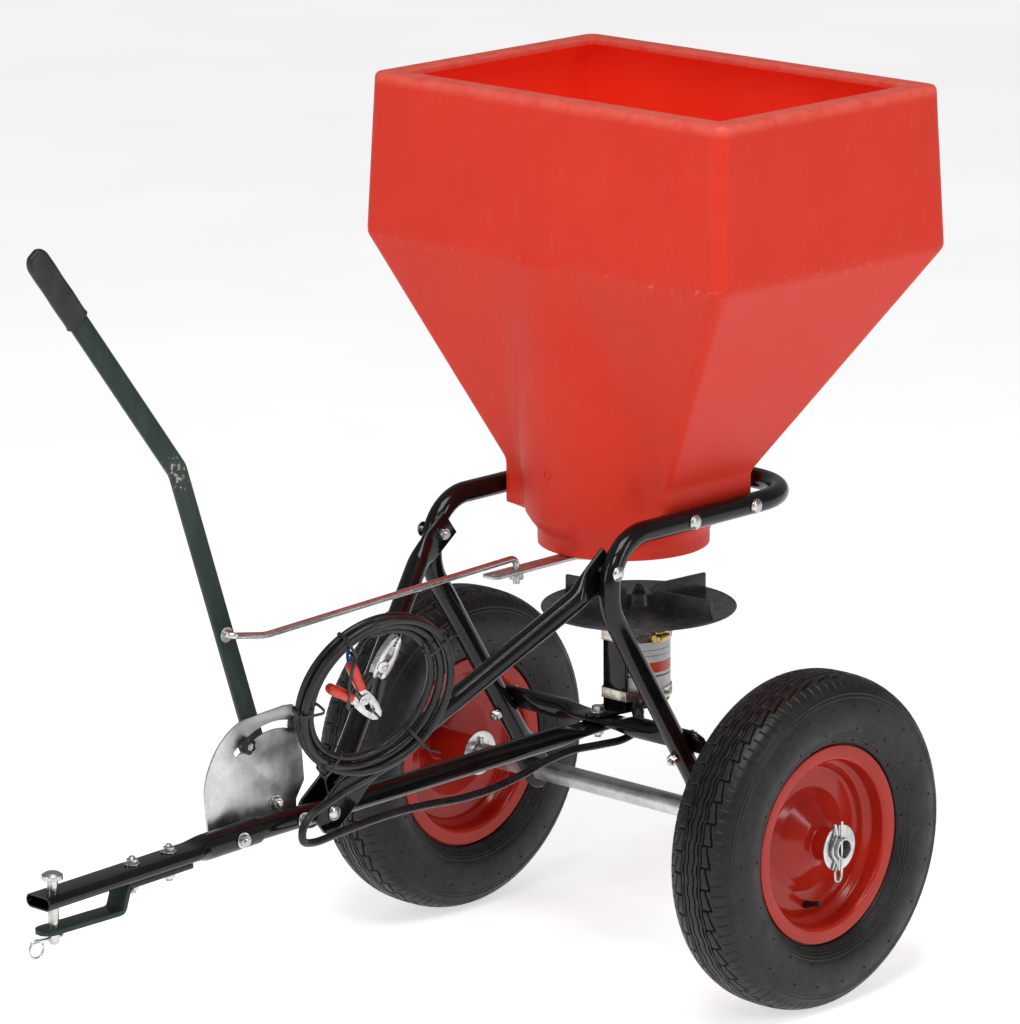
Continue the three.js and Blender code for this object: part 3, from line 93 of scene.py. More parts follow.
class Paint:
    """A Principled material with a few short-hands for its texture nodes."""

    def __init__(self, name, color, roughness=0.5, metallic=0.0, coat=0.0, specular=0.5):
        self.material = bpy.data.materials.new(name)
        self.material.use_nodes = True
        self.material.diffuse_color = (*color, 1)
        self.tree = self.material.node_tree
        self.shader = self.tree.nodes["Principled BSDF"]
        self.shader.inputs["Base Color"].default_value = (*color, 1)
        self.shader.inputs["Roughness"].default_value = roughness
        self.shader.inputs["Metallic"].default_value = metallic
        self.shader.inputs["Coat Weight"].default_value = coat
        self.shader.inputs["Coat Roughness"].default_value = 0.06
        self.shader.inputs["Specular IOR Level"].default_value = specular
        self.place = self.node("ShaderNodeTexCoord").outputs["Object"]

    def node(self, kind, **settings):
        made = self.tree.nodes.new(kind)
        for key, value in settings.items():
            setattr(made, key, value)
        return made

    def plug(self, socket, value):
        if isinstance(value, bpy.types.NodeSocket):
            self.tree.links.new(value, socket)
        elif hasattr(value, "__len__") and len(value) == 3 and len(socket.default_value) == 4:
            socket.default_value = (*value, 1)
        else:
            socket.default_value = value

    def noise(self, scale, detail=4.0, rough=0.55, stretch=None, distortion=0.0):
        made = self.node("ShaderNodeTexNoise")
        made.inputs["Scale"].default_value = scale
        made.inputs["Detail"].default_value = detail
        made.inputs["Roughness"].default_value = rough
        made.inputs["Distortion"].default_value = distortion
        self.plug(made.inputs["Vector"], self.moved(stretch) if stretch else self.place)
        return made.outputs["Fac"]

    def moved(self, scale=(1, 1, 1), turn=(0, 0, 0), shift=(0, 0, 0)):
        made = self.node("ShaderNodeMapping")
        made.inputs["Location"].default_value = shift
        made.inputs["Rotation"].default_value = turn
        made.inputs["Scale"].default_value = scale
        self.plug(made.inputs["Vector"], self.place)
        return made.outputs["Vector"]

    def cells(self, scale, feature="F1", output="Distance"):
        made = self.node("ShaderNodeTexVoronoi", feature=feature)
        made.inputs["Scale"].default_value = scale
        self.plug(made.inputs["Vector"], self.place)
        return made.outputs[output]

    def step(self, value, low, high, out_low=0.0, out_high=1.0):
        made = self.node("ShaderNodeMapRange", interpolation_type="SMOOTHSTEP")
        for key, number in (("From Min", low), ("From Max", high), ("To Min", out_low),
                            ("To Max", out_high)):
            made.inputs[key].default_value = number
        self.plug(made.inputs["Value"], value)
        return made.outputs["Result"]

    def math(self, operation, a, b=0.0):
        made = self.node("ShaderNodeMath", operation=operation)
        self.plug(made.inputs[0], a)
        self.plug(made.inputs[1], b)
        return made.outputs[0]

    def mix(self, share, a, b):
        made = self.node("ShaderNodeMix", data_type="RGBA")
        self.plug(made.inputs["Factor"], share)
        self.plug(made.inputs[6], a)
        self.plug(made.inputs[7], b)
        return made.outputs[2]

    def axis(self, which):
        made = self.node("ShaderNodeSeparateXYZ")
        self.plug(made.inputs[0], self.place)
        return made.outputs[which]

    def near(self, point, low, high):
        """1 within `low` metres of a row point, 0 beyond `high`."""
        made = self.node("ShaderNodeVectorMath", operation="DISTANCE")
        self.plug(made.inputs[0], self.place)
        made.inputs[1].default_value = point
        return self.step(made.outputs["Value"], low, high, 1.0, 0.0)

    def color(self, value):
        self.plug(self.shader.inputs["Base Color"], value)
        return self

    def rough(self, value):
        self.plug(self.shader.inputs["Roughness"], value)
        return self

    def metal(self, value):
        self.plug(self.shader.inputs["Metallic"], value)
        return self

    def bump(self, height, distance, strength=1.0):
        made = self.node("ShaderNodeBump")
        made.inputs["Strength"].default_value = strength
        made.inputs["Distance"].default_value = distance
        self.plug(made.inputs["Height"], height)
        normal = self.shader.inputs["Normal"]
        if normal.links:
            self.plug(made.inputs["Normal"], normal.links[0].from_socket)
        self.plug(normal, made.outputs["Normal"])
        return self


def hopper_plastic(name, glow=0.0):
    """Moulded plastic; glow is painted light, an emission on the inside walls that stands for the light
    coming through the wall.
    """
    p = Paint(name, (0.60, 0.026, 0.010), 0.5, specular=0.22)
    blotch = p.step(p.noise(5, 5, 0.6), 0.35, 0.7)
    base = p.mix(blotch, (0.58, 0.024, 0.009), (0.62, 0.031, 0.013))
    fine = p.noise(60, 6, 0.7, stretch=(1, 1, 0.35))
    base = p.mix(p.step(fine, 0.5, 0.8, 0.0, 0.05), base, (0.78, 0.22, 0.17))
    scratch = p.step(p.noise(26, 8, 0.8, stretch=(5, 5, 0.5), distortion=0.6), 0.655, 0.74)
    patch = p.step(p.noise(3.1, 2, 0.5), 0.52, 0.66)
    corner = p.near((0.125, 0.285, 0.60), 0.02, 0.11)
    dust = p.math("MULTIPLY", scratch, p.math("MAXIMUM", p.math("MULTIPLY", patch, 0.35), corner))
    rim_wear = p.math("MULTIPLY", p.step(p.axis("Z"), 1.040, 1.054),
                      p.step(p.noise(38, 6, 0.75), 0.3, 0.6, 0.25, 0.7))
    base = p.mix(rim_wear, base, (0.70, 0.13, 0.095))
    knee = p.math("MULTIPLY", p.step(p.axis("Z"), 0.848, 0.864),
                  p.step(p.axis("Z"), 0.866, 0.880, 1.0, 0.0))
    chalk = p.step(p.noise(90, 6, 0.8, distortion=0.8), 0.56, 0.68, 0.0, 0.4)
    base = p.mix(p.math("MULTIPLY", knee, chalk), base, (0.78, 0.26, 0.20))
    p.color(p.mix(p.math("MULTIPLY", dust, 0.6), base, (0.82, 0.42, 0.36)))
    p.rough(p.step(blotch, 0, 1, 0.44, 0.54))
    # painted light: the inside copy glows in the plastic's own red, so its walls look lit
    if glow:
        p.shader.inputs["Emission Color"].default_value = (0.62, 0.018, 0.006, 1)
        p.shader.inputs["Emission Strength"].default_value = glow
    p.bump(p.noise(330, 2, 0.5), 0.00022, 0.35)
    return p.bump(p.noise(11, 3, 0.5), 0.002, 0.3).material


def rim_enamel():
    p = Paint("rim_enamel", (0.36, 0.014, 0.006), 0.14, coat=0.08, specular=0.25)
    tone = p.step(p.noise(9, 3), 0.3, 0.7)
    base = p.mix(tone, (0.34, 0.012, 0.005), (0.40, 0.018, 0.007))
    specks = p.step(p.noise(420, 3, 0.7), 0.70, 0.78, 0.0, 0.6)
    p.color(p.mix(specks, base, (0.25, 0.05, 0.03)))
    p.rough(p.step(p.noise(30, 4), 0.3, 0.8, 0.12, 0.24))
    return p.bump(p.noise(95, 2, 0.5), 0.0004, 0.18).material


def tyre_rubber():
    p = Paint("tyre_rubber", (0.012, 0.012, 0.013), 0.45, specular=0.3)
    dusty = p.step(p.noise(14, 6, 0.7), 0.45, 0.78, 0.0, 0.5)
    base = p.mix(dusty, (0.007, 0.007, 0.008), (0.022, 0.020, 0.017))
    grit = p.step(p.noise(520, 2, 0.6), 0.74, 0.80, 0.0, 0.7)
    base = p.mix(p.step(p.noise(120, 5, 0.7), 0.45, 0.7, 0.0, 0.35), base, (0.034, 0.030, 0.024))
    p.color(p.mix(grit, base, (0.16, 0.15, 0.13)))
    p.rough(p.step(p.noise(40, 5, 0.6), 0.3, 0.75, 0.34, 0.54))
    p.bump(p.noise(900, 2, 0.5), 0.00012, 0.5)
    return p.bump(p.noise(60, 3, 0.5), 0.0005, 0.25).material


def frame_gloss():
    p = Paint("frame_gloss", (0.003, 0.003, 0.0035), 0.11, coat=0.0, specular=0.32)
    tone = p.step(p.noise(20, 3), 0.3, 0.7)
    base = p.mix(tone, (0.0028, 0.0028, 0.003), (0.006, 0.006, 0.0065))
    chips = p.step(p.noise(170, 5, 0.75), 0.735, 0.76)
    p.color(p.mix(chips, base, (0.12, 0.115, 0.11)))
    p.rough(p.step(p.noise(55, 4), 0.3, 0.8, 0.09, 0.17))
    return p.bump(p.noise(240, 2, 0.5), 0.00035, 0.22).material


def lever_green():
    p = Paint("lever_green", (0.010, 0.024, 0.020), 0.42, specular=0.3)
    tone = p.step(p.noise(35, 5, 0.6, stretch=(1, 1, 0.3)), 0.35, 0.7)
    base = p.mix(tone, (0.008, 0.021, 0.018), (0.018, 0.034, 0.030))
    worn = p.noise(150, 6, 0.75)
    bend = p.near((-0.0216, (-695 + SHIFT_Y) * MM, 0.713), 0.008, 0.035)
    share = p.step(p.math("ADD", worn, p.math("MULTIPLY", bend, 0.17)), 0.69, 0.74)
    p.color(p.mix(share, base, (0.36, 0.33, 0.29)))
    p.metal(p.math("MULTIPLY", share, 0.7))
    p.rough(p.step(worn, 0.3, 0.8, 0.34, 0.5))
    return p.bump(p.noise(260, 3, 0.5), 0.0003, 0.3).material


def zinc_plate(name="zinc_plate", color=(0.60, 0.60, 0.585), low=0.18, high=0.38):
    p = Paint(name, color, 0.3, 1.0)
    tint = p.step(p.noise(60, 4, 0.6), 0.35, 0.7)
    dull = tuple(c * 0.72 for c in color)
    p.color(p.mix(tint, color, dull))
    p.rough(p.step(p.noise(120, 4, 0.6), 0.3, 0.75, low, high))
    return p.bump(p.noise(300, 2, 0.5), 0.00004, 0.25).material


def galvanised():
    p = Paint("galvanised_steel", (0.44, 0.45, 0.46), 0.4, 1.0)
    spangle = p.cells(110, output="Color")
    grey = p.node("ShaderNodeRGBToBW")
    p.plug(grey.inputs[0], spangle)
    cloudy = p.math("ADD", p.math("MULTIPLY", grey.outputs[0], 0.12),
                    p.math("MULTIPLY", p.noise(24, 6, 0.7), 1.1))
    base = p.mix(p.step(cloudy, 0.35, 0.95), (0.42, 0.425, 0.43), (0.76, 0.77, 0.77))
    scratch = p.step(p.noise(70, 7, 0.85, stretch=(1, 0.5, 2.6), distortion=1.2), 0.60, 0.66, 0.0, 0.5)
    base = p.mix(scratch, base, (0.20, 0.20, 0.195))
    p.color(base)
    p.rough(p.step(cloudy, 0.3, 1.0, 0.28, 0.5))
    return p.bump(p.noise(90, 5, 0.6), 0.0004, 0.3).material


def black_moulding(name, color=(0.011, 0.011, 0.012), low=0.3, high=0.45, grain=0.00018):
    p = Paint(name, color, 0.4, specular=0.35)
    light = tuple(c * 2.1 + 0.002 for c in color)
    p.color(p.mix(p.step(p.noise(42, 5, 0.6), 0.4, 0.75), color, light))
    p.rough(p.step(p.noise(80, 3), 0.3, 0.7, low, high))
    return p.bump(p.noise(700, 2, 0.5), grain, 0.4).material


def sleeve(name, color):
    p = Paint(name, color, 0.35, specular=0.5)
    dark = tuple(c * 0.7 for c in color)
    p.color(p.mix(p.step(p.noise(150, 4, 0.6), 0.4, 0.7), color, dark))
    p.rough(p.step(p.noise(90, 3), 0.3, 0.7, 0.28, 0.42))
    return p.bump(p.noise(400, 2, 0.5), 0.0002, 0.4).material


def motor_label():
    """Pale wrap with plain bands of colour, drawn by height."""
    p = Paint("motor_label", (0.62, 0.63, 0.64), 0.35)
    height = p.axis("Z")
    base = p.mix(p.step(p.noise(80, 4), 0.4, 0.7), (0.60, 0.61, 0.62), (0.68, 0.69, 0.70))
    for low, high, color in ((0.350, 0.363, (0.62, 0.060, 0.018)), (0.3445, 0.3465, (0.03, 0.035, 0.05)),
                             (0.3705, 0.3712, (0.05, 0.05, 0.06)), (0.3775, 0.3782, (0.05, 0.05, 0.06))):
        above = p.step(height, low - 0.0003, low + 0.0003)
        below = p.step(height, high - 0.0003, high + 0.0003, 1.0, 0.0)
        base = p.mix(p.math("MULTIPLY", above, below), base, color)
    p.color(base)
    p.rough(p.step(p.noise(60, 3), 0.3, 0.7, 0.28, 0.42))
    return p.bump(p.noise(300, 2, 0.5), 0.0001, 0.3).material


def pale_floor():
    p = Paint("pale_floor", (0.86, 0.86, 0.86), 0.7, specular=0.2)
    pale = p.mix(p.step(p.noise(1.5, 3), 0.3, 0.7), (0.90, 0.90, 0.90), (0.93, 0.93, 0.93))
    p.color(pale)
    p.plug(p.shader.inputs["Emission Color"], pale)
    p.shader.inputs["Emission Strength"].default_value = FLOOR_GLOW
    return p.material


RED = hopper_plastic("hopper_plastic")
# painted light: a glowing copy of the hopper plastic, used on the inside walls
RED_INSIDE_PAINTED_GLOW = hopper_plastic("hopper_plastic_inside_painted_glow", PAINTED_INSIDE_GLOW)
ENAMEL = rim_enamel()
RUBBER = tyre_rubber()
GLOSS = frame_gloss()
GREEN = lever_green()
ZINC = zinc_plate()
GALV = galvanised()
GRIP = black_moulding("dipped_grip", (0.010, 0.010, 0.011), 0.34, 0.48)
KNOB = black_moulding("knob_plastic", (0.009, 0.009, 0.010))
DISC = black_moulding("spinner_plastic", (0.030, 0.031, 0.034), 0.24, 0.38)
SHEATH = black_moulding("cable_sheath", (0.006, 0.006, 0.007), 0.24, 0.36, 0.0001)
STEEL = zinc_plate("band_steel", (0.62, 0.58, 0.50), 0.2, 0.36)
BRASS = zinc_plate("brass", (0.68, 0.48, 0.16), 0.22, 0.4)
CLAMP = zinc_plate("clamp_plate", (0.66, 0.66, 0.65), 0.2, 0.42)
RED_SLEEVE = sleeve("red_sleeve", (0.60, 0.035, 0.018))
BLUE_CORE = sleeve("blue_core", (0.015, 0.09, 0.36))
BLACK_SLEEVE = sleeve("black_core", (0.010, 0.010, 0.011))
LABEL = motor_label()

# ---------------------------------------------------------------- shapes

def loft(rings, closed=False):
    """Joins rings of points, each with the same number, with caps at both ends or end to end."""
    rings = [np.asarray(r, float) for r in rings]
    n, count = len(rings[0]), len(rings)
    faces = []
    for i in range(count if closed else count - 1):
        a, b = i * n, ((i + 1) % count) * n
        faces += [(a + j, a + (j + 1) % n, b + (j + 1) % n, b + j) for j in range(n)]
    if not closed:
        faces.append(tuple(range(n - 1, -1, -1)))
        faces.append(tuple(range((count - 1) * n, count * n)))
    return np.concatenate(rings), faces


def join(*shapes):
    verts, faces, base = [], [], 0
    for v, f in shapes:
        verts.append(v)
        faces += [tuple(i + base for i in face) for face in f]
        base += len(v)
    return np.concatenate(verts), faces


def moved(shape, offset=(0, 0, 0), turn=None):
    verts = np.asarray(shape[0], float)
    if turn is not None:
        verts = verts @ np.array(turn.to_matrix()).T
    return verts + np.array(offset, float), shape[1]


def towards(axis):
    return Z.rotation_difference(Vector(axis).normalized())


def lathe(outline, count=64):
    """Revolves [radius, height] points about Z; an outline that starts and ends on the axis is capped."""
    hollow = tuple(outline[0]) == tuple(outline[-1])
    points = outline[:-1] if hollow else outline
    angles = np.arange(count) * 2 * math.pi / count
    rings = []
    for r, z in points:
        r = max(r, 1e-4)
        rings.append(np.stack([r * np.cos(angles), r * np.sin(angles), np.full(count, float(z))], 1))
    return loft(rings, closed=hollow)


def lathe_ring(outline, count=64):
    """Revolves a closed outline that stands clear of the axis."""
    return lathe([*outline, outline[0]], count)


def rounded(points, radius, steps=4, closed=True):
    """A 2-D outline with its corners rounded; radius is a number or one number per corner."""
    out, n = [], len(points)
    for i, p in enumerate(points):
        r = radius[i] if hasattr(radius, "__len__") else radius
        if r <= 0 or (not closed and i in (0, n - 1)):
            out.append(tuple(p))
            continue
        a, b, c = (np.array(q, float) for q in (points[i - 1], p, points[(i + 1) % n]))
        u, v = (a - b) / np.linalg.norm(a - b), (c - b) / np.linalg.norm(c - b)
        half = math.acos(max(-1, min(1, float(u @ v)))) / 2
        cut = min(r / math.tan(half), 0.48 * np.linalg.norm(a - b), 0.48 * np.linalg.norm(c - b))
        for k in range(steps + 1):
            t = k / steps
            q = (1 - t) ** 2 * (b + u * cut) + 2 * t * (1 - t) * b + t * t * (b + v * cut)
            out.append(tuple(q))
    return out


def prism(outline, low, high, plane="XY", holes=()):
    """Extrudes an outline, with holes cut right through it."""
    bm = bmesh.new()
    edges = []
    for loop in (outline, *holes):
        ring = [bm.verts.new((x, y, 0)) for x, y in loop]
        edges += [bm.edges.new((ring[i], ring[(i + 1) % len(ring)])) for i in range(len(ring))]
    if holes:
        bmesh.ops.triangle_fill(bm, use_beauty=True, use_dissolve=False, edges=edges, normal=(0, 0, 1))
    else:
        bm.faces.new(bm.verts)
    bm.verts.ensure_lookup_table()
    made = bmesh.ops.extrude_face_region(bm, geom=list(bm.faces))
    bmesh.ops.translate(bm, vec=(0, 0, high - low),
                        verts=[g for g in made["geom"] if isinstance(g, bmesh.types.BMVert)])
    bmesh.ops.recalc_face_normals(bm, faces=bm.faces)
    bm.verts.index_update()
    verts = np.array([v.co for v in bm.verts], float)
    faces = [tuple(v.index for v in f.verts) for f in bm.faces]
    bm.free()
    verts[:, 2] += low
    if plane == "YZ":
        verts = verts[:, [2, 0, 1]]
    return verts, faces


def bent(corners, radii, step=6.0):
    """A poly-line whose inner corners are rounded with the given radii."""
    corners = [Vector(c) for c in corners]
    path = [corners[0]]
    for i in range(1, len(corners) - 1):
        before = (corners[i - 1] - corners[i]).normalized()
        after = (corners[i + 1] - corners[i]).normalized()
        turn = math.pi - before.angle(after)
        start = corners[i] + before * radii[i - 1] * math.tan(turn / 2)
        middle = (before + after).normalized()
        centre = corners[i] + middle * radii[i - 1] / math.cos(turn / 2)
        spoke, axle = start - centre, (-before).cross(after).normalized()
        steps = max(3, round(math.degrees(turn) / step))
        path += [Quaternion(axle, turn * k / steps) @ spoke + centre for k in range(steps + 1)]
    return path + [corners[-1]]


def stations(path, spacing):
    """The same path with points no further apart than spacing; returns points, distances, length."""
    points, at = [path[0]], [0.0]
    for a, b in zip(path, path[1:]):
        far = (b - a).length
        parts = max(1, math.ceil(far / spacing))
        for k in range(1, parts + 1):
            points.append(a.lerp(b, k / parts))
            at.append(at[-1] + far / parts)
    return points, at, at[-1]


def smooth(x, low, high):
    t = min(1, max(0, (x - low) / (high - low)))
    return t * t * (3 - 2 * t)


def mix(a, b, t):
    return a + (b - a) * t


def sweep(path, size, sides=32):
    """size(at, total) gives half width, half thickness and the direction of the thickness or None."""
    points, at, total = path
    flat, rings = None, []
    for i, point in enumerate(points):
        tangent = (points[min(i + 1, len(points) - 1)] - points[max(i - 1, 0)]).normalized()
        wide, thin, way = size(at[i], total)
        flat = Vector(way) if way is not None else flat
        flat = (flat - tangent * flat.dot(tangent)).normalized()
        across = tangent.cross(flat)
        ring = []
        for k in range(sides):
            angle = (k + 0.5) * 2 * math.pi / sides
            spread = math.copysign(wide - thin, math.sin(angle))
            offset = across * (thin * math.sin(angle) + spread)
            ring.append(point + flat * (thin * math.cos(angle)) + offset)
        rings.append(ring)
    return loft(rings)


def pressed_width(radius, half):
    return half + math.pi / 2 * (radius - half)


def pressed_ends(radius, start, end):
    """The size rule of a tube with ends pressed flat, as in the CAD source."""
    def size(at, total):
        for spec, far in ((start, at), (end, total - at)):
            if not spec or far > spec["flat"] + spec["blend"]:
                continue
            t = smooth(far, spec["flat"], spec["flat"] + spec["blend"])
            thin = mix(spec["half"], radius, t)
            wide = mix(spec.get("wide", pressed_width(radius, spec["half"])), radius, t)
            if spec.get("tip") and far < spec["tip"]:
                wide = max(thin * 1.05, wide * math.sqrt(1 - 0.8 * (1 - far / spec["tip"]) ** 2))
            return wide, thin, spec["way"] if at == 0 else None
        return radius, radius, (start or end)["way"] if at == 0 else None
    return size


def pressed_tube(corners, radii, radius, start, end, sides=32):
    return sweep(stations(bent(corners, radii), 5), pressed_ends(radius, start, end), sides)


def wire(path, radius, sides=16, way=(0, 0, 1), spacing=1e9):
    return sweep(stations(path, spacing), lambda at, total: (radius, radius, way if at == 0 else None),
                 sides)


def rod_shape(start, end, radius, sides=32, chamfer=0.4):
    """A straight round bar with small chamfers."""
    start, end = Vector(start), Vector(end)
    far = (end - start).length
    outline = [[0, 0], [radius - chamfer, 0], [radius, chamfer], [radius, far - chamfer],
               [radius - chamfer, far], [0, far]]
    return moved(lathe(outline, sides), start, towards(end - start))


def smooth_path(points, count):
    """Centripetal Catmull-Rom curve through points, as `count` points evenly spaced."""
    p = [np.array(q, float) for q in points]
    p = [2 * p[0] - p[1], *p, 2 * p[-1] - p[-2]]
    fine = []
    for a, b, c, d in zip(p, p[1:], p[2:], p[3:]):
        t0 = 0.0
        t1 = t0 + np.linalg.norm(b - a) ** 0.5
        t2 = t1 + np.linalg.norm(c - b) ** 0.5
        t3 = t2 + np.linalg.norm(d - c) ** 0.5
        for t in np.linspace(t1, t2, 12, endpoint=False):
            a1 = (t1 - t) / (t1 - t0) * a + (t - t0) / (t1 - t0) * b
            a2 = (t2 - t) / (t2 - t1) * b + (t - t1) / (t2 - t1) * c
            a3 = (t3 - t) / (t3 - t2) * c + (t - t2) / (t3 - t2) * d
            b1 = (t2 - t) / (t2 - t0) * a1 + (t - t0) / (t2 - t0) * a2
            b2 = (t3 - t) / (t3 - t1) * a2 + (t - t1) / (t3 - t1) * a3
            fine.append((t2 - t) / (t2 - t1) * b1 + (t - t1) / (t2 - t1) * b2)
    fine = np.array([*fine, p[-2]])
    along = np.concatenate([[0], np.cumsum(np.linalg.norm(np.diff(fine, axis=0), axis=1))])
    at = np.linspace(0, along[-1], count)
    return np.stack([np.interp(at, along, fine[:, k]) for k in range(3)], 1)


def piece(name, shape, material, body="frame", replaces=(), sharp=38, bevel=0.0, segments=2):
    """Writes a shape as a smooth-shaded mesh that rides on a CAD body."""
    mesh = bpy.data.meshes.new(name)
    mesh.from_pydata(to_row(shape[0]).tolist(), [], shape[1])
    bm = bmesh.new()
    bm.from_mesh(mesh)
    bmesh.ops.remove_doubles(bm, verts=bm.verts, dist=1e-6)
    bmesh.ops.dissolve_degenerate(bm, edges=bm.edges, dist=1e-7)
    bmesh.ops.recalc_face_normals(bm, faces=bm.faces)
    if bevel:
        edges = [e for e in bm.edges if e.is_manifold and e.calc_face_angle(0) > math.radians(28)]
        bmesh.ops.bevel(bm, geom=edges, offset=bevel * MM, segments=segments, profile=0.5, affect="EDGES",
                        clamp_overlap=True)
    for face in bm.faces:
        face.smooth = True
    for edge in bm.edges:
        edge.smooth = edge.calc_face_angle(0) < math.radians(sharp)
    bm.to_mesh(mesh)
    bm.free()
    mesh.materials.append(material)
    made = add_object(name, mesh)
    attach(made, body)
    if replaces:
        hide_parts(*([replaces] if isinstance(replaces, str) else replaces))
    return made


# ---------------------------------------------------------------- battery lead

COIL_CENTRE = Vector((80.4, -494.4, 435.3))
COIL_TURN = towards((0.94, -0.166, -0.294))
COIL_R = 90                      # to the middle of the bundle
LEAD_R = 4.7
LEAD_ROUTE = [
    (24.2, -2.6, 312.3), (29, -8.5, 312.3), (36, -14, 308), (40, -18, 299), (41, -23, 288), (39, -40, 281),
    (35, -80, 281), (30, -120, 282), (28, -165, 277), (26, -205, 268), (25, -250, 262), (24, -300, 261),
    (24, -350, 265), (25, -400, 268), (27, -450, 268), (29, -500, 266), (31, -545, 264), (35, -566, 271),
    (38, -569, 286), (38, -557, 299), (38, -535, 307), (38, -505, 316), (41, -475, 324), (46, -450, 333),
    (53, -428, 343),
]


def in_coil(radius, angle, lift):
    """A point of the coil from its radius, angle and height above its middle plane."""
    local = Vector((radius * math.cos(angle), radius * math.sin(angle), lift))
    return COIL_CENTRE + COIL_TURN @ local


def coil_angle(point):
    local = COIL_TURN.inverted() @ (Vector(point) - COIL_CENTRE)
    return math.atan2(local.y, local.x), math.hypot(local.x, local.y), local.z


def lead_points():
    """The lead's route from the motor's base to the coil, and about three and a half times round it."""
    points = [Vector(p) for p in LEAD_ROUTE]
    angle, radius, lift = coil_angle(points[-1])
    before = coil_angle(points[-2])[0]
    way = 1 if math.remainder(angle - before, 2 * math.pi) > 0 else -1
    slots = [(99.0, -5.3), (99.0, 5.3), (89.0, 0.0), (79.5, -5.3)]
    turns, per_turn, lead_in = 3.45, 40, 12
    for k in range(1, int(turns * per_turn)):
        here = k / per_turn
        i = min(int(here), len(slots) - 1)
        r, z = slots[i]
        share = smooth(here - i, 0.66, 0.98)
        if i + 1 < len(slots):
            r, z = mix(r, slots[i + 1][0], share), mix(z, slots[i + 1][1], share)
        a = angle + way * (here * 2 * math.pi + 0.02)
        r += 1.6 * math.sin(2 * a + 0.7 * i)
        if k < lead_in:
            t = smooth(k, 0, lead_in)
            r, z = mix(radius, r, t), mix(lift, z, t)
        points.append(in_coil(r, a, z))
    return points


def cord_curve(name, points, radius, material, body, replaces=()):
    curve = bpy.data.curves.new(name, "CURVE")
    curve.dimensions = "3D"
    curve.bevel_depth = radius * MM
    curve.bevel_resolution = 5
    curve.use_fill_caps = True
    spline = curve.splines.new("POLY")
    row = to_row(points)
    spline.points.add(len(row) - 1)
    for target, point in zip(spline.points, row):
        target.co = (*point, 1)
    spline.use_smooth = True
    curve.materials.append(material)
    made = add_object(name, curve)
    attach(made, body)
    if replaces:
        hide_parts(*replaces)
    return made


lead_line = smooth_path(lead_points(), 900)
lead = cord_curve("battery_lead", lead_line, LEAD_R, SHEATH, "frame", ("lead_run", "lead_coil"))


def frame_at(points, i):
    """Position and direction of a path at a point."""
    a, b = points[max(i - 1, 0)], points[min(i + 1, len(points) - 1)]
    return Vector(points[i]), Vector(b - a).normalized()


# A tapered boot where the lead leaves the motor, and the sleeve where it splits into two cores.
boot_rings = []
for i, grow in ((0, 3.2), (4, 3.2), (5, 2.4), (6, 3.0), (7, 2.0), (8, 2.6), (9, 1.6), (10, 2.2), (11, 1.2),
                (12, 0.5)):
    centre, way = frame_at(lead_line, i)
    across = way.cross(Z).normalized()
    above = across.cross(way)
    boot_rings.append([centre + (across * math.cos(a) + above * math.sin(a)) * (LEAD_R + grow)
                       for a in np.arange(20) * math.pi / 10])
boot = piece("lead_boot", loft(boot_rings), SHEATH, sharp=60)

CLAMPS = (("red", (-6, -22), 35, 4.5, "red_jaw"), ("black", (-30, 14), 150, -8.5, "black_jaw"))


def clamp_place(uv, turn, lift):
    """Matrix from a clamp's own frame (jaw towards +X, pivot at the origin) to the axle frame."""
    local = Matrix.Translation((*uv, lift)) @ Matrix.Rotation(math.radians(turn), 4, "Z")
    return Matrix.Translation(COIL_CENTRE) @ COIL_TURN.to_matrix().to_4x4() @ local


def placed(shape, matrix):
    m = np.array(matrix)
    return shape[0] @ m[:3, :3].T + m[:3, 3], shape[1]


def core_path(clamp_matrix, start, way, reach_out, reach_in, lift):
    """A limp arc from the split sleeve into the mouth of a clamp's handle sleeve, and on inside it."""
    mouth, inside = clamp_matrix @ Vector((-46, 15.8, 0)), clamp_matrix @ Vector((-30, 11.6, 0))
    into = (inside - mouth).normalized()
    lifted = COIL_TURN @ Z * lift
    p = [start, start + way * reach_out + lifted, mouth - into * reach_in + lifted, mouth]
    t = np.linspace(0, 1, 60)[:, None]
    p = [np.array(q) for q in p]
    arc = (1 - t) ** 3 * p[0] + 3 * t * (1 - t) ** 2 * p[1] + 3 * t * t * (1 - t) * p[2] + t ** 3 * p[3]
    return np.concatenate([arc, [np.array(mouth.lerp(inside, k / 6)) for k in range(1, 7)]])


end_point, end_way = frame_at(lead_line, len(lead_line) - 1)
split = moved(lathe([[0, -9], [5.0, -9], [5.6, -7], [5.6, 4], [4.8, 9], [3.6, 12], [0, 12]], 24),
              end_point,
              towards(end_way))
split_sleeve = piece("lead_split_sleeve", split, SHEATH, sharp=50)


def clamp_half(sign, width):
    """A pressed half of a battery clamp: curved arm, toothed jaw and a rolled edge."""
    arm = [(-46, 17), (-44, 12.5), (-26, 7.2), (-12, 2.9), (9, 3.4), (14, 4.9), (24, 2.8)]
    arm += [(26, 0.5), (28, 2.4), (30, 0.5), (32, 2.2), (34, 0.4), (36, 1.8), (38, 0.5), (39, 2.6)]
    arm += [(34, 7.0), (22, 10.2), (10, 11.6), (-2, 11.8), (-14, 9.2), (-28, 13.0), (-40, 17.6)]
    outline = [(x, sign * y) for x, y in rounded(arm, 1.2, 3)]
    return prism(outline, -width / 2, width / 2)


def handle_sleeve(sign):
    """A dipped sleeve over the handle end of a clamp half."""
    path = [Vector((-14, sign * 8.2, 0)), Vector((-28, sign * 11.4, 0)), Vector((-40, sign * 15.0, 0)),
            Vector((-52, sign * 18.2, 0))]
    def size(at, total):
        left = total - at
        tip = math.sqrt(max(0.05, 1 - (1 - min(left, 5) / 5) ** 2))
        swell = 1 + 0.08 * math.sin(at / total * math.pi)
        return 7.2 * tip * swell, 5.6 * tip * swell, Y if at == 0 else None
    return sweep(stations(path, 1.2), size, 24)


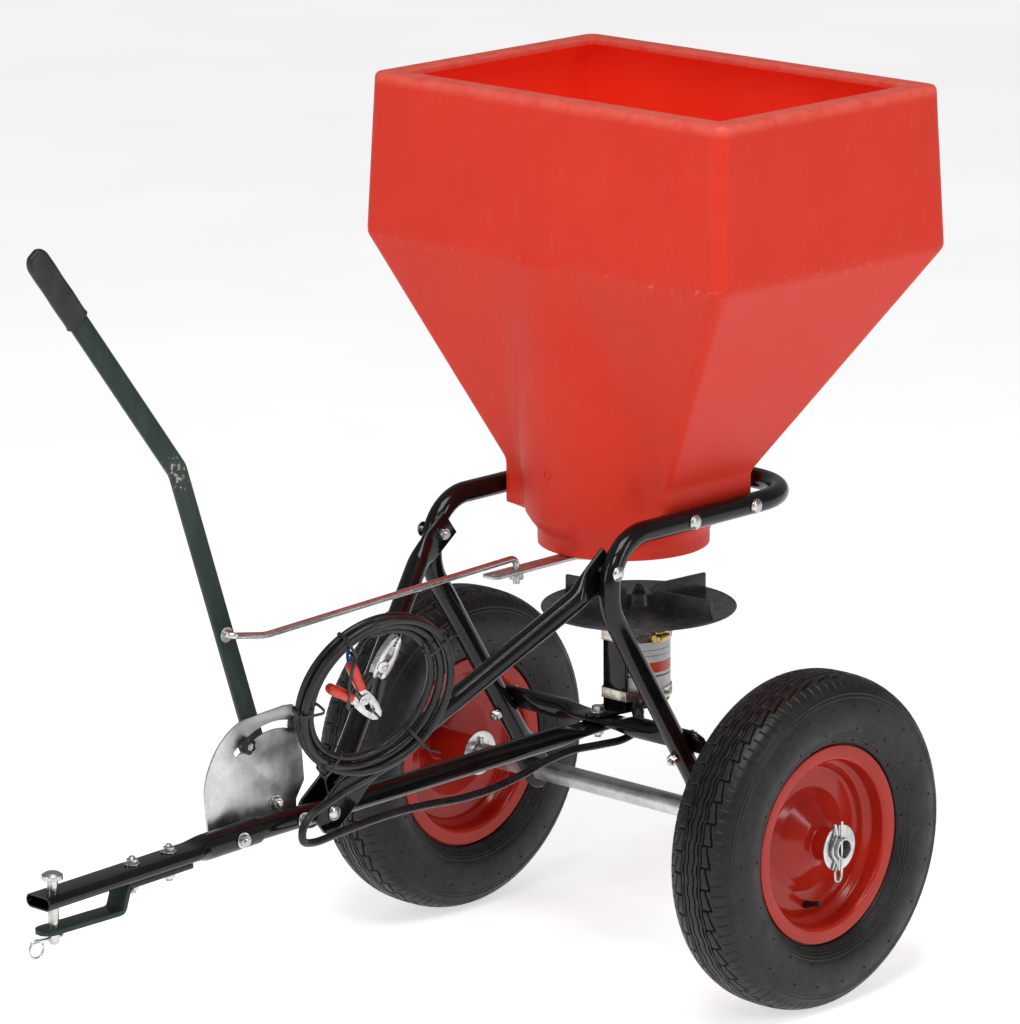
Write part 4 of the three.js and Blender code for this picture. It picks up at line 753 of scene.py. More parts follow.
for name, uv, turn, lift, jaw_body in CLAMPS:
    matrix = clamp_place(uv, turn, lift)
    sleeve_paint = RED_SLEEVE if name == "red" else BLACK_SLEEVE
    rivet = lathe([[0, 7.4], [2.4, 7.2], [3.4, 6.2], [3.4, -6.2], [2.4, -7.2], [0, -7.4]], 24)
    cheek = prism(rounded([(-7, 1), (-4, 9.5), (5, 9.5), (8, 1), (4, -4.5), (-4, -4.5)], 2.5, 4), 4.7, 5.9)
    cheeks = join(cheek, moved(cheek, (0, 0, -10.6)))
    fixed = piece(f"{name}_clamp_arm", placed(join(clamp_half(1, 9), cheeks, rivet), matrix), CLAMP,
                  "frame", f"{name}_clamp", bevel=0.7)
    piece(f"{name}_clamp_jaw_arm", placed(clamp_half(-1, 8.6), matrix), CLAMP,
          jaw_body, f"{name}_clamp_jaw", bevel=0.7)
    grips = [piece(f"{name}_clamp_sleeve", placed(handle_sleeve(1), matrix), sleeve_paint, "frame"),
             piece(f"{name}_jaw_sleeve", placed(handle_sleeve(-1), matrix), sleeve_paint, jaw_body)]
    shape_of_arc = (22, 14, -12) if name == "red" else (55, 40, 25)
    core_line = core_path(matrix, end_point + end_way * 8, end_way, *shape_of_arc)
    core = cord_curve(f"{name}_core", core_line, 2.0, BLUE_CORE if name == "red" else BLACK_SLEEVE,
                      "frame")

# Cable ties round the coil.
for i, angle in enumerate((35, 118, 205, 262, 318)):
    a = math.radians(angle)
    loop = [in_coil(COIL_R + dr, a, dz) for dr, dz in rounded(
        [(-16.5, -11), (16.5, -11), (16.5, 11), (-16.5, 11)], 7, 5)]
    strap = []
    along = (in_coil(COIL_R, a + 0.01, 0) - in_coil(COIL_R, a, 0)).normalized()
    middle = in_coil(COIL_R, a, 0)
    for p in loop:
        out = (p - middle).normalized()
        strap.append([p + along * s * 1.8 + out * t for s, t in ((-1, 0), (1, 0), (1, 1.1), (-1, 1.1))])
    tail_start = in_coil(COIL_R + 16.5, a, 9)
    tail = wire(bent([tail_start, in_coil(112, a, 14), in_coil(122, a + 0.06, 22)], [5]), 1.0, 8)
    head = prism(rounded([(-2.6, -2.2), (2.6, -2.2), (2.6, 2.2), (-2.6, 2.2)], 0.6, 2), -2, 2.4)
    head = moved(head, in_coil(COIL_R + 17.5, a, 8), COIL_TURN)
    piece(f"coil_tie_{i}", join(loft(strap, closed=True), tail, head), KNOB, sharp=30)

# ---------------------------------------------------------------- wheels

AXLE_Z = 200
WHEEL_X = 289.25
TYRE_R = 200
BEAD_R, FLANGE_R = 101.6, 118.2
HUB_IN, HUB_OUT = 243, 338
AXLE_R, AXLE_HALF, WASHER_T = 12.7, 349.3, 2.5
HAIRPIN_X, ROLL_PIN_X = 344, 237


def on_wheel(shape, side):
    """From a wheel's own frame (axle along Z, outside towards +Z) to the axle frame."""
    verts = np.stack([shape[0][:, 2], shape[0][:, 1], -shape[0][:, 0]], 1)
    if side < 0:
        verts = verts * (-1, -1, 1)
    return verts + (side * WHEEL_X, 0, AXLE_Z), shape[1]


PITCHES = 48


def tread_depth(x, turn):
    """How far the tread is cut in at x (mm from the middle) and at a share of a turn."""
    side = 1 if x > 0 else -1
    far_x = abs(x)
    u = (turn * PITCHES + (0.5 if side > 0 else 0.0)) % 1
    block = 2 * math.pi * TYRE_R / PITCHES
    jog = 1.3 * (smooth(u, 0.42, 0.5) - smooth(u, 0.92, 1.0))
    depth = 0.0
    for line, width in ((3.6, 0.9), (9.6, 1.1), (13.8, 0.8)):
        depth = max(depth, 3.0 * (1 - smooth(abs(far_x - line - jog), 0.3 * width, 0.9 * width + 0.3)))
    saw = 20.5 + 6.5 * u
    depth = max(depth, 3.0 * (1 - smooth(abs(far_x - saw), 0.4, 1.3)))
    edge = min(u, 1 - u) * block
    if 13.8 < far_x < 27:
        depth = max(depth, 3.0 * (1 - smooth(edge, 0.4, 1.3)))
    if 26 < far_x < 44:
        half = (u * 2 + 0.5) % 1
        near = min(half, 1 - half) * block / 2
        fade = smooth(far_x, 27, 29) * (1 - smooth(far_x, 39, 43))
        depth = max(depth, 0.9 * (1 - smooth(near, 0.3, 1.2)) * fade)
        fine = (u * 8) % 1
        near = min(fine, 1 - fine) * block / 8
        fade = smooth(far_x, 34, 37) * (1 - smooth(far_x, 41, 44))
        depth = max(depth, 0.35 * (1 - smooth(near, 0.2, 0.9)) * fade)
    return depth


def tyre_shape():
    """A grid over the tyre's outside, with grooves pressed into the tread, closed by a plain inside."""
    half = [(0, 200.0), (17, 199.2), (27, 196.8), (36, 192.2), (42.5, 184), (46.5, 173), (49.0, 160),
            (49.4, 149), (47.6, 139), (43.6, 130.5), (38.8, 124.5), (35.6, 120.6), (31.6, 119.4)]
    path = smooth_path([(x, r, 0) for x, r in half], 160)
    spread = [(x, r) for x, r, _ in path]
    ribs = {181: 0.8, 177: 0.5, 134: 0.6, 130.5: 0.55, 127: 0.5, 123.5: 0.4}
    outline = []
    for i, (x, r) in enumerate(spread):
        a, b = spread[max(i - 1, 0)], spread[min(i + 1, len(spread) - 1)]
        n = np.array([-(b[1] - a[1]), b[0] - a[0]])
        n = n / np.linalg.norm(n)
        n = n if n @ np.array([x, r - 100]) > 0 else -n
        raise_by = sum(h * (1 - smooth(abs(r - at), 0.5, 1.2)) for at, h in ribs.items() if abs(x) > 30)
        outline.append((x, r, n[0], n[1], raise_by))
    sides = [(-x, r, -nx, nr, up) for x, r, nx, nr, up in reversed(outline[1:])] + outline
    inner = [(31, BEAD_R + 1.6), (23, BEAD_R + 1.6), (30, 125), (39, 145), (38, 165), (28, 179), (0, 183)]
    inner = inner + [(-x, r) for x, r in reversed(inner[:-1])]
    count = PITCHES * 28
    angles = np.arange(count) * 2 * math.pi / count
    rings = []
    for x, r, nx, nr, up in sides:
        depth = 0.0
        if abs(x) < 46 and r > 181:
            depth = np.array([tread_depth(x, k / count) for k in range(count)])
        shift = up - depth
        radius = np.minimum(r + nr * shift, TYRE_R) * np.ones(count)
        across = (x + nx * shift) * np.ones(count)
        across = np.clip(across, -49.5, 49.5)
        rings.append(np.stack([radius * np.cos(angles), radius * np.sin(angles), across], 1))
    for x, r in inner:
        rings.append(np.stack([r * np.cos(angles), r * np.sin(angles), np.full(count, float(x))], 1))
    return loft(rings, closed=True)


def vent_nubs():
    """The small spew marks that moulding leaves on the side wall."""
    made = []
    for radius, lift, count, start in ((124.6, 39.5, 26, 0.0), (139, 47.9, 18, 0.1),
                                       (166, 48.4, 22, 0.07)):
        for k in range(count):
            a = start + k * 2 * math.pi / count + 0.05 * math.sin(k * 5.1)
            for side in (1, -1):
                spot = (radius * math.cos(a), radius * math.sin(a), side * (lift - 0.3))
                made.append(moved(lathe([[0, 1.7 * side], [0.9, 1.3 * side], [1.2, 0], [0, 0]], 7), spot))
    return join(*made)


def rim_shape():
    bore = 13.4
    hub_in, hub_out = HUB_IN - WHEEL_X, HUB_OUT - WHEEL_X
    outline = [(FLANGE_R - 0.6, 35), (FLANGE_R, 33.5), (FLANGE_R - 0.6, 31.6), (112, 31), (BEAD_R, 31),
               (BEAD_R, 16),
               (93, 11), (93, -11), (BEAD_R, -16), (BEAD_R, -31), (112, -31), (FLANGE_R, -31.6),
               (FLANGE_R, -34),
               (FLANGE_R - 1.5, -35), (112, -34.6), (99, -34.2), (99, -15), (90.4, -10), (90.4, -6),
               (61, -3.8),
               (49, 1.6), (22, 20), (19, 20.5), (19, hub_in), (bore, hub_in), (bore, hub_out),
               (19, hub_out),
               (19, 24.5), (28, 21), (52, 4), (62, -1), (87, -1), (90.4, 10), (99, 15), (99.6, 32),
               (103, 34.4),
               (112, 35)]
    radii = [1, 0.8, 1, 3, 2, 3, 4, 4, 3, 2, 3, 0.8, 0.8, 0.8, 3, 6, 6, 3, 2, 8, 8, 4, 2, 0.5, 0.5, 0.5,
             0.6,
             3.5, 6, 10, 9, 6, 7, 6, 6, 4, 3]
    outline = rounded(outline, radii, 5)
    return lathe_ring(outline, 128)


def wire_loop(corners, radii, radius, sides=14):
    return wire(bent(corners, radii, 12), radius, sides, way=(1, 0, 0))


def hairpin_shape():
    hug = AXLE_R + 2.6
    corners = [(0, 0, 33), (0, 0, -26), (0, -1, -38), (0, -11, -38), (0, -12, -26), (0, -7, -15),
               (0, -hug, -5),
               (0, -hug, 5), (0, -8, 19), (0, -12, 32)]
    return wire_loop(corners, [5, 4.5, 4.5, 6, 5, 5, 5, 8], 1.75)


def washer(outer, inner, low, high, edge=0.35):
    outline = rounded([(outer, low), (outer, high), (inner, high), (inner, low)], edge, 3)
    return lathe_ring(outline, 64)


def axial(shape, x):
    """A shape made round Z, turned to lie along +X at x on the axle."""
    verts = shape[0]
    return np.stack([verts[:, 2], verts[:, 1], -verts[:, 0]], 1) + (x, 0, AXLE_Z), shape[1]


tyre = tyre_shape()
nubs = vent_nubs()
rim = rim_shape()
for side, sign in SIDES:
    wheel = f"{side}_wheel"
    piece(f"{side}_tyre_tread", on_wheel(tyre, sign), RUBBER, wheel, f"{side}_tyre",
          sharp=50)
    piece(f"{side}_tyre_vents", on_wheel(nubs, sign), RUBBER, wheel)
    piece(f"{side}_rim_disc", on_wheel(rim, sign), ENAMEL, wheel, f"{side}_rim", sharp=60)
    valve = join(moved(lathe([[0, 0], [4.4, 0], [4.4, 5], [3.2, 12], [2.8, 13], [0, 13]], 20)),
                 moved(lathe([[0, 13], [3.1, 13], [3.3, 14], [3.3, 22], [2.4, 24], [0, 24]], 20)))
    place = Matrix.Translation((80, 0, -1.5)) @ Matrix.Rotation(math.radians(-14), 4, "Y")
    piece(f"{side}_valve", on_wheel(placed(valve, place), sign), SHEATH, wheel)
    inner_x = sign * (HUB_IN - GAP - WASHER_T)
    outer_x = sign * (HUB_OUT + GAP)
    flat = washer(27.5, 13.6, 0, WASHER_T)
    piece(f"{side}_outer_washer_ring", axial(flat, outer_x if sign > 0 else outer_x - WASHER_T), ZINC,
          "frame",
          f"{side}_outer_washer")
    piece(f"{side}_inner_washer_ring", axial(flat, inner_x if sign > 0 else inner_x - WASHER_T), ZINC,
          "frame",
          f"{side}_inner_washer")
    pin_verts, pin_faces = hairpin_shape()
    pin_verts = pin_verts * (sign, sign, 1) + (sign * HAIRPIN_X, 0, AXLE_Z)
    piece(f"{side}_hairpin_wire", (pin_verts, pin_faces), ZINC, "frame", f"{side}_hairpin",
          sharp=70)

axle_outline = rounded([(AXLE_R, -AXLE_HALF), (AXLE_R, AXLE_HALF), (10.7, AXLE_HALF), (10.7, -AXLE_HALF)],
                       0.4, 3)
roll_pins = [rod_shape((s * ROLL_PIN_X, 0, AXLE_Z - 20), (s * ROLL_PIN_X, 0, AXLE_Z + 20), 2.5,
                       20) for s in (1, -1)]
piece("axle_tube", join(axial(lathe_ring(axle_outline, 64), 0), *roll_pins), GALV, "frame", "axle")

# ---------------------------------------------------------------- fasteners

BOLT_R, NUT_R, NUT_H = 4.0, 7.5, 6.5


def hex_nut(low, high, radius=NUT_R, chamfer=0.9):
    """Hexagon with turned chamfers on both faces."""
    rings, count = [], 48
    for z, grow in ((low, -chamfer), (low + chamfer * 0.55, 0), (high - chamfer * 0.55, 0),
                    (high, -chamfer)):
        ring = []
        for k in range(count):
            a = k * 2 * math.pi / count
            sector = (a + math.pi / 6) % (math.pi / 3) - math.pi / 6
            flat = radius * math.cos(math.pi / 6) / math.cos(sector)
            r = min(flat, radius + grow)
            ring.append((r * math.cos(a), r * math.sin(a), z))
        rings.append(ring)
    return loft(rings)


def thread(low, high, radius=BOLT_R, pitch=1.25):
    outline, z = [[0, low]], low
    while z < high - pitch:
        outline += [[radius - 0.35, z], [radius, z + pitch * 0.5]]
        z += pitch
    outline += [[radius - 0.5, high], [0, high]]
    return lathe(outline, 24)


def bolt_shape(grip, head="dome", nut=True, head_r=9.0, head_h=5.0):
    if head == "dome":
        arc = [[head_r * math.sin(t),
                0.9 + (head_h - 0.9) * math.cos(t)] for t in np.linspace(0, math.pi / 2, 9)]
        top = lathe([[0, head_h], *arc[1:], [head_r - 0.2, 0.3], [BOLT_R, 0.3], [BOLT_R, -1], [0, -1]], 40)
    else:
        mark = lathe([[0, 8.25], [3.0, 8.2], [3.4, 7.6], [0, 7.6]], 32)
        top = join(washer(9.2, 3, 0.3, 2.2), hex_nut(2.2, 2.2 + 5.8), mark)
    end = -grip - NUT_H - 4 if nut else -grip
    parts = [top, rod_shape((0, 0, end + 12 if nut else end), (0, 0, 1), BOLT_R, 24)]
    if nut:
        parts += [thread(end, end + 12.5), hex_nut(-grip - 0.3 - NUT_H, -grip - 0.3)]
    return join(*parts)


def nut_and_end(grip):
    """A bolt fitted the other way up: its nut, washer and thread end are on the +Z side."""
    top = join(washer(9.2, 3, 0.3, 1.8), hex_nut(1.8, 6.6, 6.8), thread(5.5, 9.5, 3.6),
               rod_shape((0, 0, -grip - 1), (0, 0, 6), BOLT_R - 0.2, 24))
    low = -grip - NUT_H - 4
    return join(top, hex_nut(-grip - 0.3 - NUT_H, -grip - 0.3), thread(low, low + 12.5))


def add_bolt(node, at, axis, grip, body="frame", **options):
    made = nut_and_end(grip) if options.get("head") == "nut" else bolt_shape(grip, **options)
    shape = moved(made, at, towards(axis))
    return piece(f"{node}_detail", shape, ZINC, body, node, sharp=35)


# ---------------------------------------------------------------- tube frame

TUBE_R, PRESSED, HITCH_R = 12.7, 4.0, 15.5
LEG_X, LEG_Y, LEG_KNEE_Z, HOOP_Z, HOOP_BACK_Y = 144, -178, 483, 566, 164
LEG_BOLT = (LEG_Y, 529)
HITCH_TIP, SEAM, DRAWBAR_START, DRAWBAR_END = (-932, 276), (-607, 285.5), -678, (-22, 291.7)
CENTRE_BOLT_Y, PIN_Y, FOOT_BOLT_Y = -45, -911, -501
STRAP_BOLTS = (("front", -794), ("rear", -739))
PLATE_BOLTS = (("front", -640), ("rear", -543))

leg_up = Vector((0, LEG_Y, LEG_KNEE_Z - AXLE_Z)).normalized()
cross_way = Vector((0, -leg_up.z, leg_up.y))
cross_point = Vector((0, 0, AXLE_Z)) + leg_up * 107
cross_axis = cross_point - cross_way * (TUBE_R + PRESSED + GAP)


def drawbar_z(y):
    (y0, z0), (y1, z1) = (HITCH_TIP, SEAM) if y < SEAM[0] else (SEAM, DRAWBAR_END)
    return z0 + (z1 - z0) * (y - y0) / (y1 - y0)


leg = [Vector((LEG_X, 0, AXLE_Z)) - leg_up * 24, Vector((LEG_X, LEG_Y, LEG_KNEE_Z)),
       Vector((LEG_X, LEG_Y, HOOP_Z)),
       Vector((LEG_X, HOOP_BACK_Y, HOOP_Z))]
leg_end = {"flat": 50, "blend": 40, "half": PRESSED, "wide": 21, "tip": 22, "way": X}
cradle = pressed_tube([*leg, *[Vector((-p.x, p.y, p.z)) for p in reversed(leg)]], [60, 58, 82, 82, 58, 60],
                      TUBE_R,
                      leg_end, leg_end)
piece("cradle_hoop", cradle, GLOSS, "frame", "cradle_frame", sharp=75)

BRACE_X, FOOT_X, FOOT_HALF = 128.5, 15.6, 2.5
slope = Vector((0, 321, 239)).normalized()
for side, sign in SIDES:
    foot_bolt = Vector((sign * FOOT_X, FOOT_BOLT_Y, drawbar_z(FOOT_BOLT_Y)))
    tab_bolt = Vector((sign * BRACE_X, *LEG_BOLT))
    corners = [foot_bolt - slope * 24, foot_bolt + slope * 50, tab_bolt - slope * 46,
               tab_bolt + slope * 18]
    brace = pressed_tube(corners, [50, 50], TUBE_R,
                         {"flat": 50, "blend": 45, "half": FOOT_HALF, "wide": 22,
                         "tip": 20, "way": X}, {"flat": 30, "blend": 40, "half": FOOT_HALF})
    piece(f"{side}_brace_tube", brace, GLOSS, "frame", f"{side}_brace", sharp=75)
    add_bolt(f"{side}_joint_bolt", (sign * (LEG_X + TUBE_R), *LEG_BOLT), (sign, 0, 0),
             LEG_X + TUBE_R - (BRACE_X - FOOT_HALF))
    seat = cross_axis - cross_way * PRESSED
    seat.x = sign * LEG_X
    add_bolt(f"{side}_cross_bolt", seat, -cross_way, 2 * (TUBE_R + PRESSED) + GAP, head="hex")
    for end, y in (("front", -47), ("rear", 59)):
        add_bolt(f"{side}_{end}_hopper_bolt", (sign * (LEG_X + TUBE_R), y, HOOP_Z), (sign, 0, 0),
                 LEG_X + TUBE_R - (130.5 - 5.5 - 2.5))
foot_half = FOOT_X + FOOT_HALF
add_bolt("brace_foot_bolt", (foot_half, FOOT_BOLT_Y, drawbar_z(FOOT_BOLT_Y)), X, 2 * foot_half)

CROSS_HALF = 168


def cross_size(at, total):
    x = at - total / 2
    from_end = total / 2 - abs(x)
    press = max(1 - smooth(from_end, 38, 80), 1 - smooth(abs(x), 26, 62))
    thin = mix(TUBE_R, PRESSED, press)
    wide = mix(TUBE_R, pressed_width(TUBE_R, PRESSED), press)
    if from_end < 14:
        wide *= 1 - 0.45 * (1 - from_end / 14) ** 2
    way = Z.lerp(-cross_way, smooth(abs(x), 62, 88)).normalized()
    return wide, max(thin, 0.1), way


cross_path = stations([Vector((-CROSS_HALF, cross_axis.y, cross_axis.z)),
                       Vector((CROSS_HALF, cross_axis.y, cross_axis.z))], 3)
piece("cross_member", sweep(cross_path, cross_size), GLOSS, "frame", "cross_tube", sharp=75)

HITCH_THIN = 8
tip, seam = Vector((0, *HITCH_TIP)), Vector((0, *SEAM))
hitch_outer = pressed_ends(HITCH_R, {"flat": 225, "blend": 22, "half": HITCH_THIN, "way": Z}, None)
hitch_inner = pressed_ends(TUBE_R + 1, {"flat": 225, "blend": 22, "half": HITCH_THIN - 2, "way": Z}, None)


def pipe(path, outer, inner, sides=40):
    """A hollow pressed tube, open at both ends."""
    outside, inside = sweep(path, outer, sides), sweep(path, inner, sides)
    rings = len(path[0])
    ring = lambda s, i: s[0][i * sides:(i + 1) * sides]
    return loft([*(ring(outside, i) for i in range(rings)),
                 *(ring(inside, i) for i in reversed(range(rings)))],
                closed=True)


hitch_path = stations([tip, seam], 4)
piece("hitch_sleeve", pipe(hitch_path, hitch_outer, hitch_inner), GLOSS, "frame", "hitch_tube",
      sharp=60)
drawbar_end = {"flat": 56, "blend": 42, "half": PRESSED, "way": Z, "tip": 18}
drawbar_path = stations([Vector((0, DRAWBAR_START, drawbar_z(DRAWBAR_START))), seam,
                         Vector((0, *DRAWBAR_END))], 4)
piece("drawbar_bar", sweep(drawbar_path, pressed_ends(TUBE_R, None, drawbar_end)), GLOSS, "frame",
      "drawbar_tube",
      sharp=75)

STRAP_T, STRAP_HALF, JAW_Z = 5.5, 14, 244


def hitch_strap():
    """Flat bar cranked down from the hitch tube, with a round end."""
    under = lambda y: drawbar_z(y) - HITCH_THIN - GAP
    line = [(-715, under(-715)), (-812, under(-812)), (-821, JAW_Z), (-933, JAW_Z)]
    top = rounded(line, 5, 6, closed=False)
    rings = []
    for i, (y, z) in enumerate(top):
        a, b = np.array(top[max(i - 1, 0)]), np.array(top[min(i + 1, len(top) - 1)])
        d = (b - a) / np.linalg.norm(b - a)
        n = np.array([d[1], -d[0]])
        n = n if n[1] < 0 else -n
        rings.append(((y, z), (y + n[0] * STRAP_T, z + n[1] * STRAP_T)))
    made = [[(-STRAP_HALF, *t), (STRAP_HALF, *t), (STRAP_HALF, *u), (-STRAP_HALF, *u)] for t,
            u in rings[:-1]]
    for t in np.linspace(0, 0.97, 10):
        y = -919 - STRAP_HALF * t
        w = STRAP_HALF * math.sqrt(1 - t * t)
        if y < made[-1][0][1]:
            made.append([(-w, y, JAW_Z), (w, y, JAW_Z), (w, y, JAW_Z - STRAP_T), (-w, y, JAW_Z - STRAP_T)])
    return loft(made)


piece("hitch_strap_bar", hitch_strap(), GREEN, "frame", "hitch_strap", sharp=30, bevel=0.5)
for end, y in STRAP_BOLTS:
    add_bolt(f"{end}_hitch_bolt", (0, y, drawbar_z(y) + HITCH_THIN), Z, 2 * HITCH_THIN + STRAP_T + 2 * GAP,
             head="nut")

PIN_LOW, CLIP_Z = 224, 231.5
pin_top = drawbar_z(PIN_Y) + HITCH_THIN + 22
pin_outline = rounded([(0, pin_top), (7.5, pin_top - 0.6), (12, pin_top - 3.5), (12, pin_top - 8.6),
                       (6.25, pin_top - 9), (6.25, PIN_LOW + 2), (4.5, PIN_LOW), (0, PIN_LOW)],
                      [0, 3, 1.6, 0.8, 0.8, 0.8, 0.5, 0], 4, closed=False)
piece("hitch_pin_turned", moved(lathe(pin_outline, 48), (0, PIN_Y, 0)), ZINC, "frame", "hitch_pin")
ring_y = -948 + 11.9
ring_path = [Vector((0, ring_y + 10 * math.cos(a), CLIP_Z - 8 + 10 * math.sin(a)))
             for a in np.linspace(math.radians(48), math.radians(385), 36)]
clip = join(wire(ring_path, 1.5, 12, way=(1, 0, 0)),
            rod_shape((0, -944, CLIP_Z), (0, PIN_Y + 13, CLIP_Z), 2.0, 16))
piece("hitch_clip_ring", clip, ZINC, "hitch_clip", "hitch_clip", sharp=60)

# ---------------------------------------------------------------- quadrant, lever and rod

LEVER_PIVOT, LEVER_BEND, LEVER_END = (-560, 305), (-695, 713), (-898, 985)
PLATE_X, PLATE_T, SLOT_R = -15.8, 3.0, 90
STOPS = (("front", 31.4), ("rear", -19.4))
LEVER_T, LEVER_HALF, GRIP_WALL = 5.0, 12.5, 3.4
lever_face = PLATE_X - PLATE_T - GAP
lever_far = lever_face - LEVER_T


def on_quadrant(degrees, radius):
    a = math.radians(degrees)
    return LEVER_PIVOT[0] - radius * math.sin(a), LEVER_PIVOT[1] + radius * math.cos(a)


def bezier(a, b, c, d, steps=12):
    t = np.linspace(0, 1, steps)[:, None]
    a, b, c, d = (np.array(p, float) for p in (a, b, c, d))
    return [tuple(p) for p in (1 - t) ** 3 * a + 3 * t * (1 - t) ** 2 * b + 3 * t * t * (1 - t) * c
            + t ** 3 * d]


plate_edge = [(-664, 291), *bezier((-668, 338), (-664, 372), (-640, 402), (-606, 411), 18), (-543, 415),
              (-530, 413.5), (-521, 404), (-514, 322), (-527, 302), (-527, 274), (-650, 273), (-660, 277)]
slot_far = [on_quadrant(mix(-23, 42, t), SLOT_R + 4.6) for t in np.linspace(0, 1, 24)]
slot_near = [on_quadrant(mix(42, -23, t), SLOT_R - 4.6) for t in np.linspace(0, 1, 24)]
piece("quadrant_sheet", prism(plate_edge, PLATE_X - PLATE_T, PLATE_X, "YZ", holes=[slot_far + slot_near]),
      GALV,
      "frame", "quadrant_plate", bevel=0.35)
for end, y in PLATE_BOLTS:
    face = HITCH_R if end == "front" else TUBE_R
    add_bolt(f"{end}_plate_bolt", (face, y, drawbar_z(y)), X, face - PLATE_X + PLATE_T, head="nut")
add_bolt("lever_pivot_bolt", (PLATE_X, *LEVER_PIVOT), X, PLATE_X - lever_far + GAP, head="nut")


def lever_shape():
    pivot, bend, end = (np.array(p, float) for p in (LEVER_PIVOT, LEVER_BEND, LEVER_END))
    low = (bend - pivot) / np.linalg.norm(bend - pivot)
    high = (end - bend) / np.linalg.norm(end - bend)
    end = end - high * 8
    side = lambda way: np.array([-way[1], way[0]]) * LEVER_HALF
    mitre = side(low) + side(high)
    mitre *= LEVER_HALF / (mitre @ side(low) / LEVER_HALF)
    start = math.atan2(side(low)[1], side(low)[0])
    arc = [tuple(pivot + LEVER_HALF * np.array([math.cos(start + t), math.sin(start + t)]))
           for t in np.linspace(0, math.pi, 20)]
    inner = rounded([arc[-1], tuple(bend - mitre), tuple(end - side(high))], 30, 8, closed=False)[1:]
    outer = rounded([tuple(end + side(high)), tuple(bend + mitre), arc[0]], 30, 8, closed=False)[:-1]
    return prism(arc + inner + outer, lever_far, lever_face, "YZ")


piece("lever_flat", lever_shape(), GREEN, "lever", "lever_bar", bevel=0.6)


def grip_shape():
    end = Vector((lever_far + LEVER_T / 2, *LEVER_END))
    along = (end - Vector((end.x, *LEVER_BEND))).normalized()
    path = stations([end - along * 104, end], 1.3)
    def size(at, total):
        left = total - at
        tip_scale = math.sqrt(max(0.12, 1 - 0.75 * (1 - left / 14) ** 2)) if left < 14 else 1
        bead = 1.0 if at < 3.2 else 0.965 - 0.012 * math.sin(at / 7.0)
        lead = 0.93 + 0.07 * smooth(at, 0, 1.4)
        wide = (LEVER_HALF + GRIP_WALL) * tip_scale * bead * lead
        thin = (LEVER_T / 2 + GRIP_WALL) * tip_scale * bead * lead
        return wide, thin, X if at == 0 else None
    return sweep(path, size, 40)


piece("lever_dipped_grip", grip_shape(), GRIP, "lever", "lever_grip", sharp=80)

ROD_R, ROD_END_Y = 4.0, -183
rod_share = (514 - LEVER_PIVOT[1]) / (LEVER_BEND[1] - LEVER_PIVOT[1])
rod_y, rod_z = mix(LEVER_PIVOT[0], LEVER_BEND[0], rod_share), 514
rod_path = bent([(lever_far - 8, rod_y, rod_z), (-9, rod_y, rod_z), (-8.5, rod_y + 50, rod_z - 9),
                 (0, ROD_END_Y, 522),
                 (0, ROD_END_Y, 491)], [7, 60, 9], 8)
collars = [moved(washer(9, 3.9, 0, 2), (x, rod_y, rod_z),
                 towards(X)) for x in (lever_face + GAP, lever_far - GAP - 2)]
piece("control_rod_wire", join(wire(rod_path, ROD_R, 20), *collars), ZINC, "rod", "control_rod",
      sharp=60)

for end, degrees in STOPS:
    at = on_quadrant(degrees, SLOT_R)
    add_bolt(f"{end}_stop_bolt", (PLATE_X - PLATE_T, *at), -X, PLATE_T + 8, f"{end}_stop", nut=False,
             head_r=6.5,
             head_h=4.4)
    rings = []
    for z, scale in ((0.3, 0.9), (1.2, 1.0), (8, 1.0), (10.2, 0.93), (11, 0.8), (11, 0.45), (9.4, 0.4)):
        rings.append([(scale * (9 + 0.9 * math.cos(6 * a)) * math.cos(a),
                       scale * (9 + 0.9 * math.cos(6 * a)) * math.sin(a), z)
                      for a in np.arange(72) * math.pi / 36])
    piece(f"{end}_knob_moulding", moved(loft(rings), (PLATE_X, *at), towards(X)), KNOB, f"{end}_knob",
          f"{end}_stop_knob", sharp=45)
    insert = join(washer(4.6, 2.8, 9.0, 10.9), thread(8.5, 12.0, 2.9))
    piece(f"{end}_knob_insert", moved(insert, (PLATE_X, *at), towards(X)), ZINC, f"{end}_knob")

# ---------------------------------------------------------------- hopper

HOPPER_TOP, HOPPER_KNEE, PAD_TOP, PAD_BOTTOM, SPOUT_BOTTOM = 1056.3, 864.9, 600, 545, 509
WALL, LIP, LIP_T, CREASE, SPOUT_R, SPOUT_NECK = 5.5, 30, 7, 14, 102, 524
KNEE, TOP, PAD = (284.5, -147.2, 251.2, 13), (279.2, -138.6, 243.5, 17), (130.5, -69, 84, 8)
CONE_LOW, CONE_HIGH = 116, 146
HOPPER_COUNT = 480


def section(level):
    """Rectangle (half width, front, back, corner) or None, and cone radius or None, at a height."""
    between = lambda a, b, t: tuple(mix(p, q, t) for p, q in zip(a, b))
    rect = None
    if level >= HOPPER_KNEE:
        rect = between(KNEE, TOP, (level - HOPPER_KNEE) / (HOPPER_TOP - HOPPER_KNEE))
    elif level >= PAD_TOP:
        rect = between(PAD, KNEE, (level - PAD_TOP) / (HOPPER_KNEE - PAD_TOP))
    elif level >= PAD_BOTTOM:
        rect = PAD
    cone = None
    if level < PAD_BOTTOM:
        cone = mix(SPOUT_R, CONE_LOW, smooth(level, SPOUT_NECK, PAD_BOTTOM + 4))
    elif level < HOPPER_KNEE:
        cone = mix(CONE_LOW, CONE_HIGH, (level - PAD_BOTTOM) / (HOPPER_KNEE - PAD_BOTTOM))
    return rect, cone


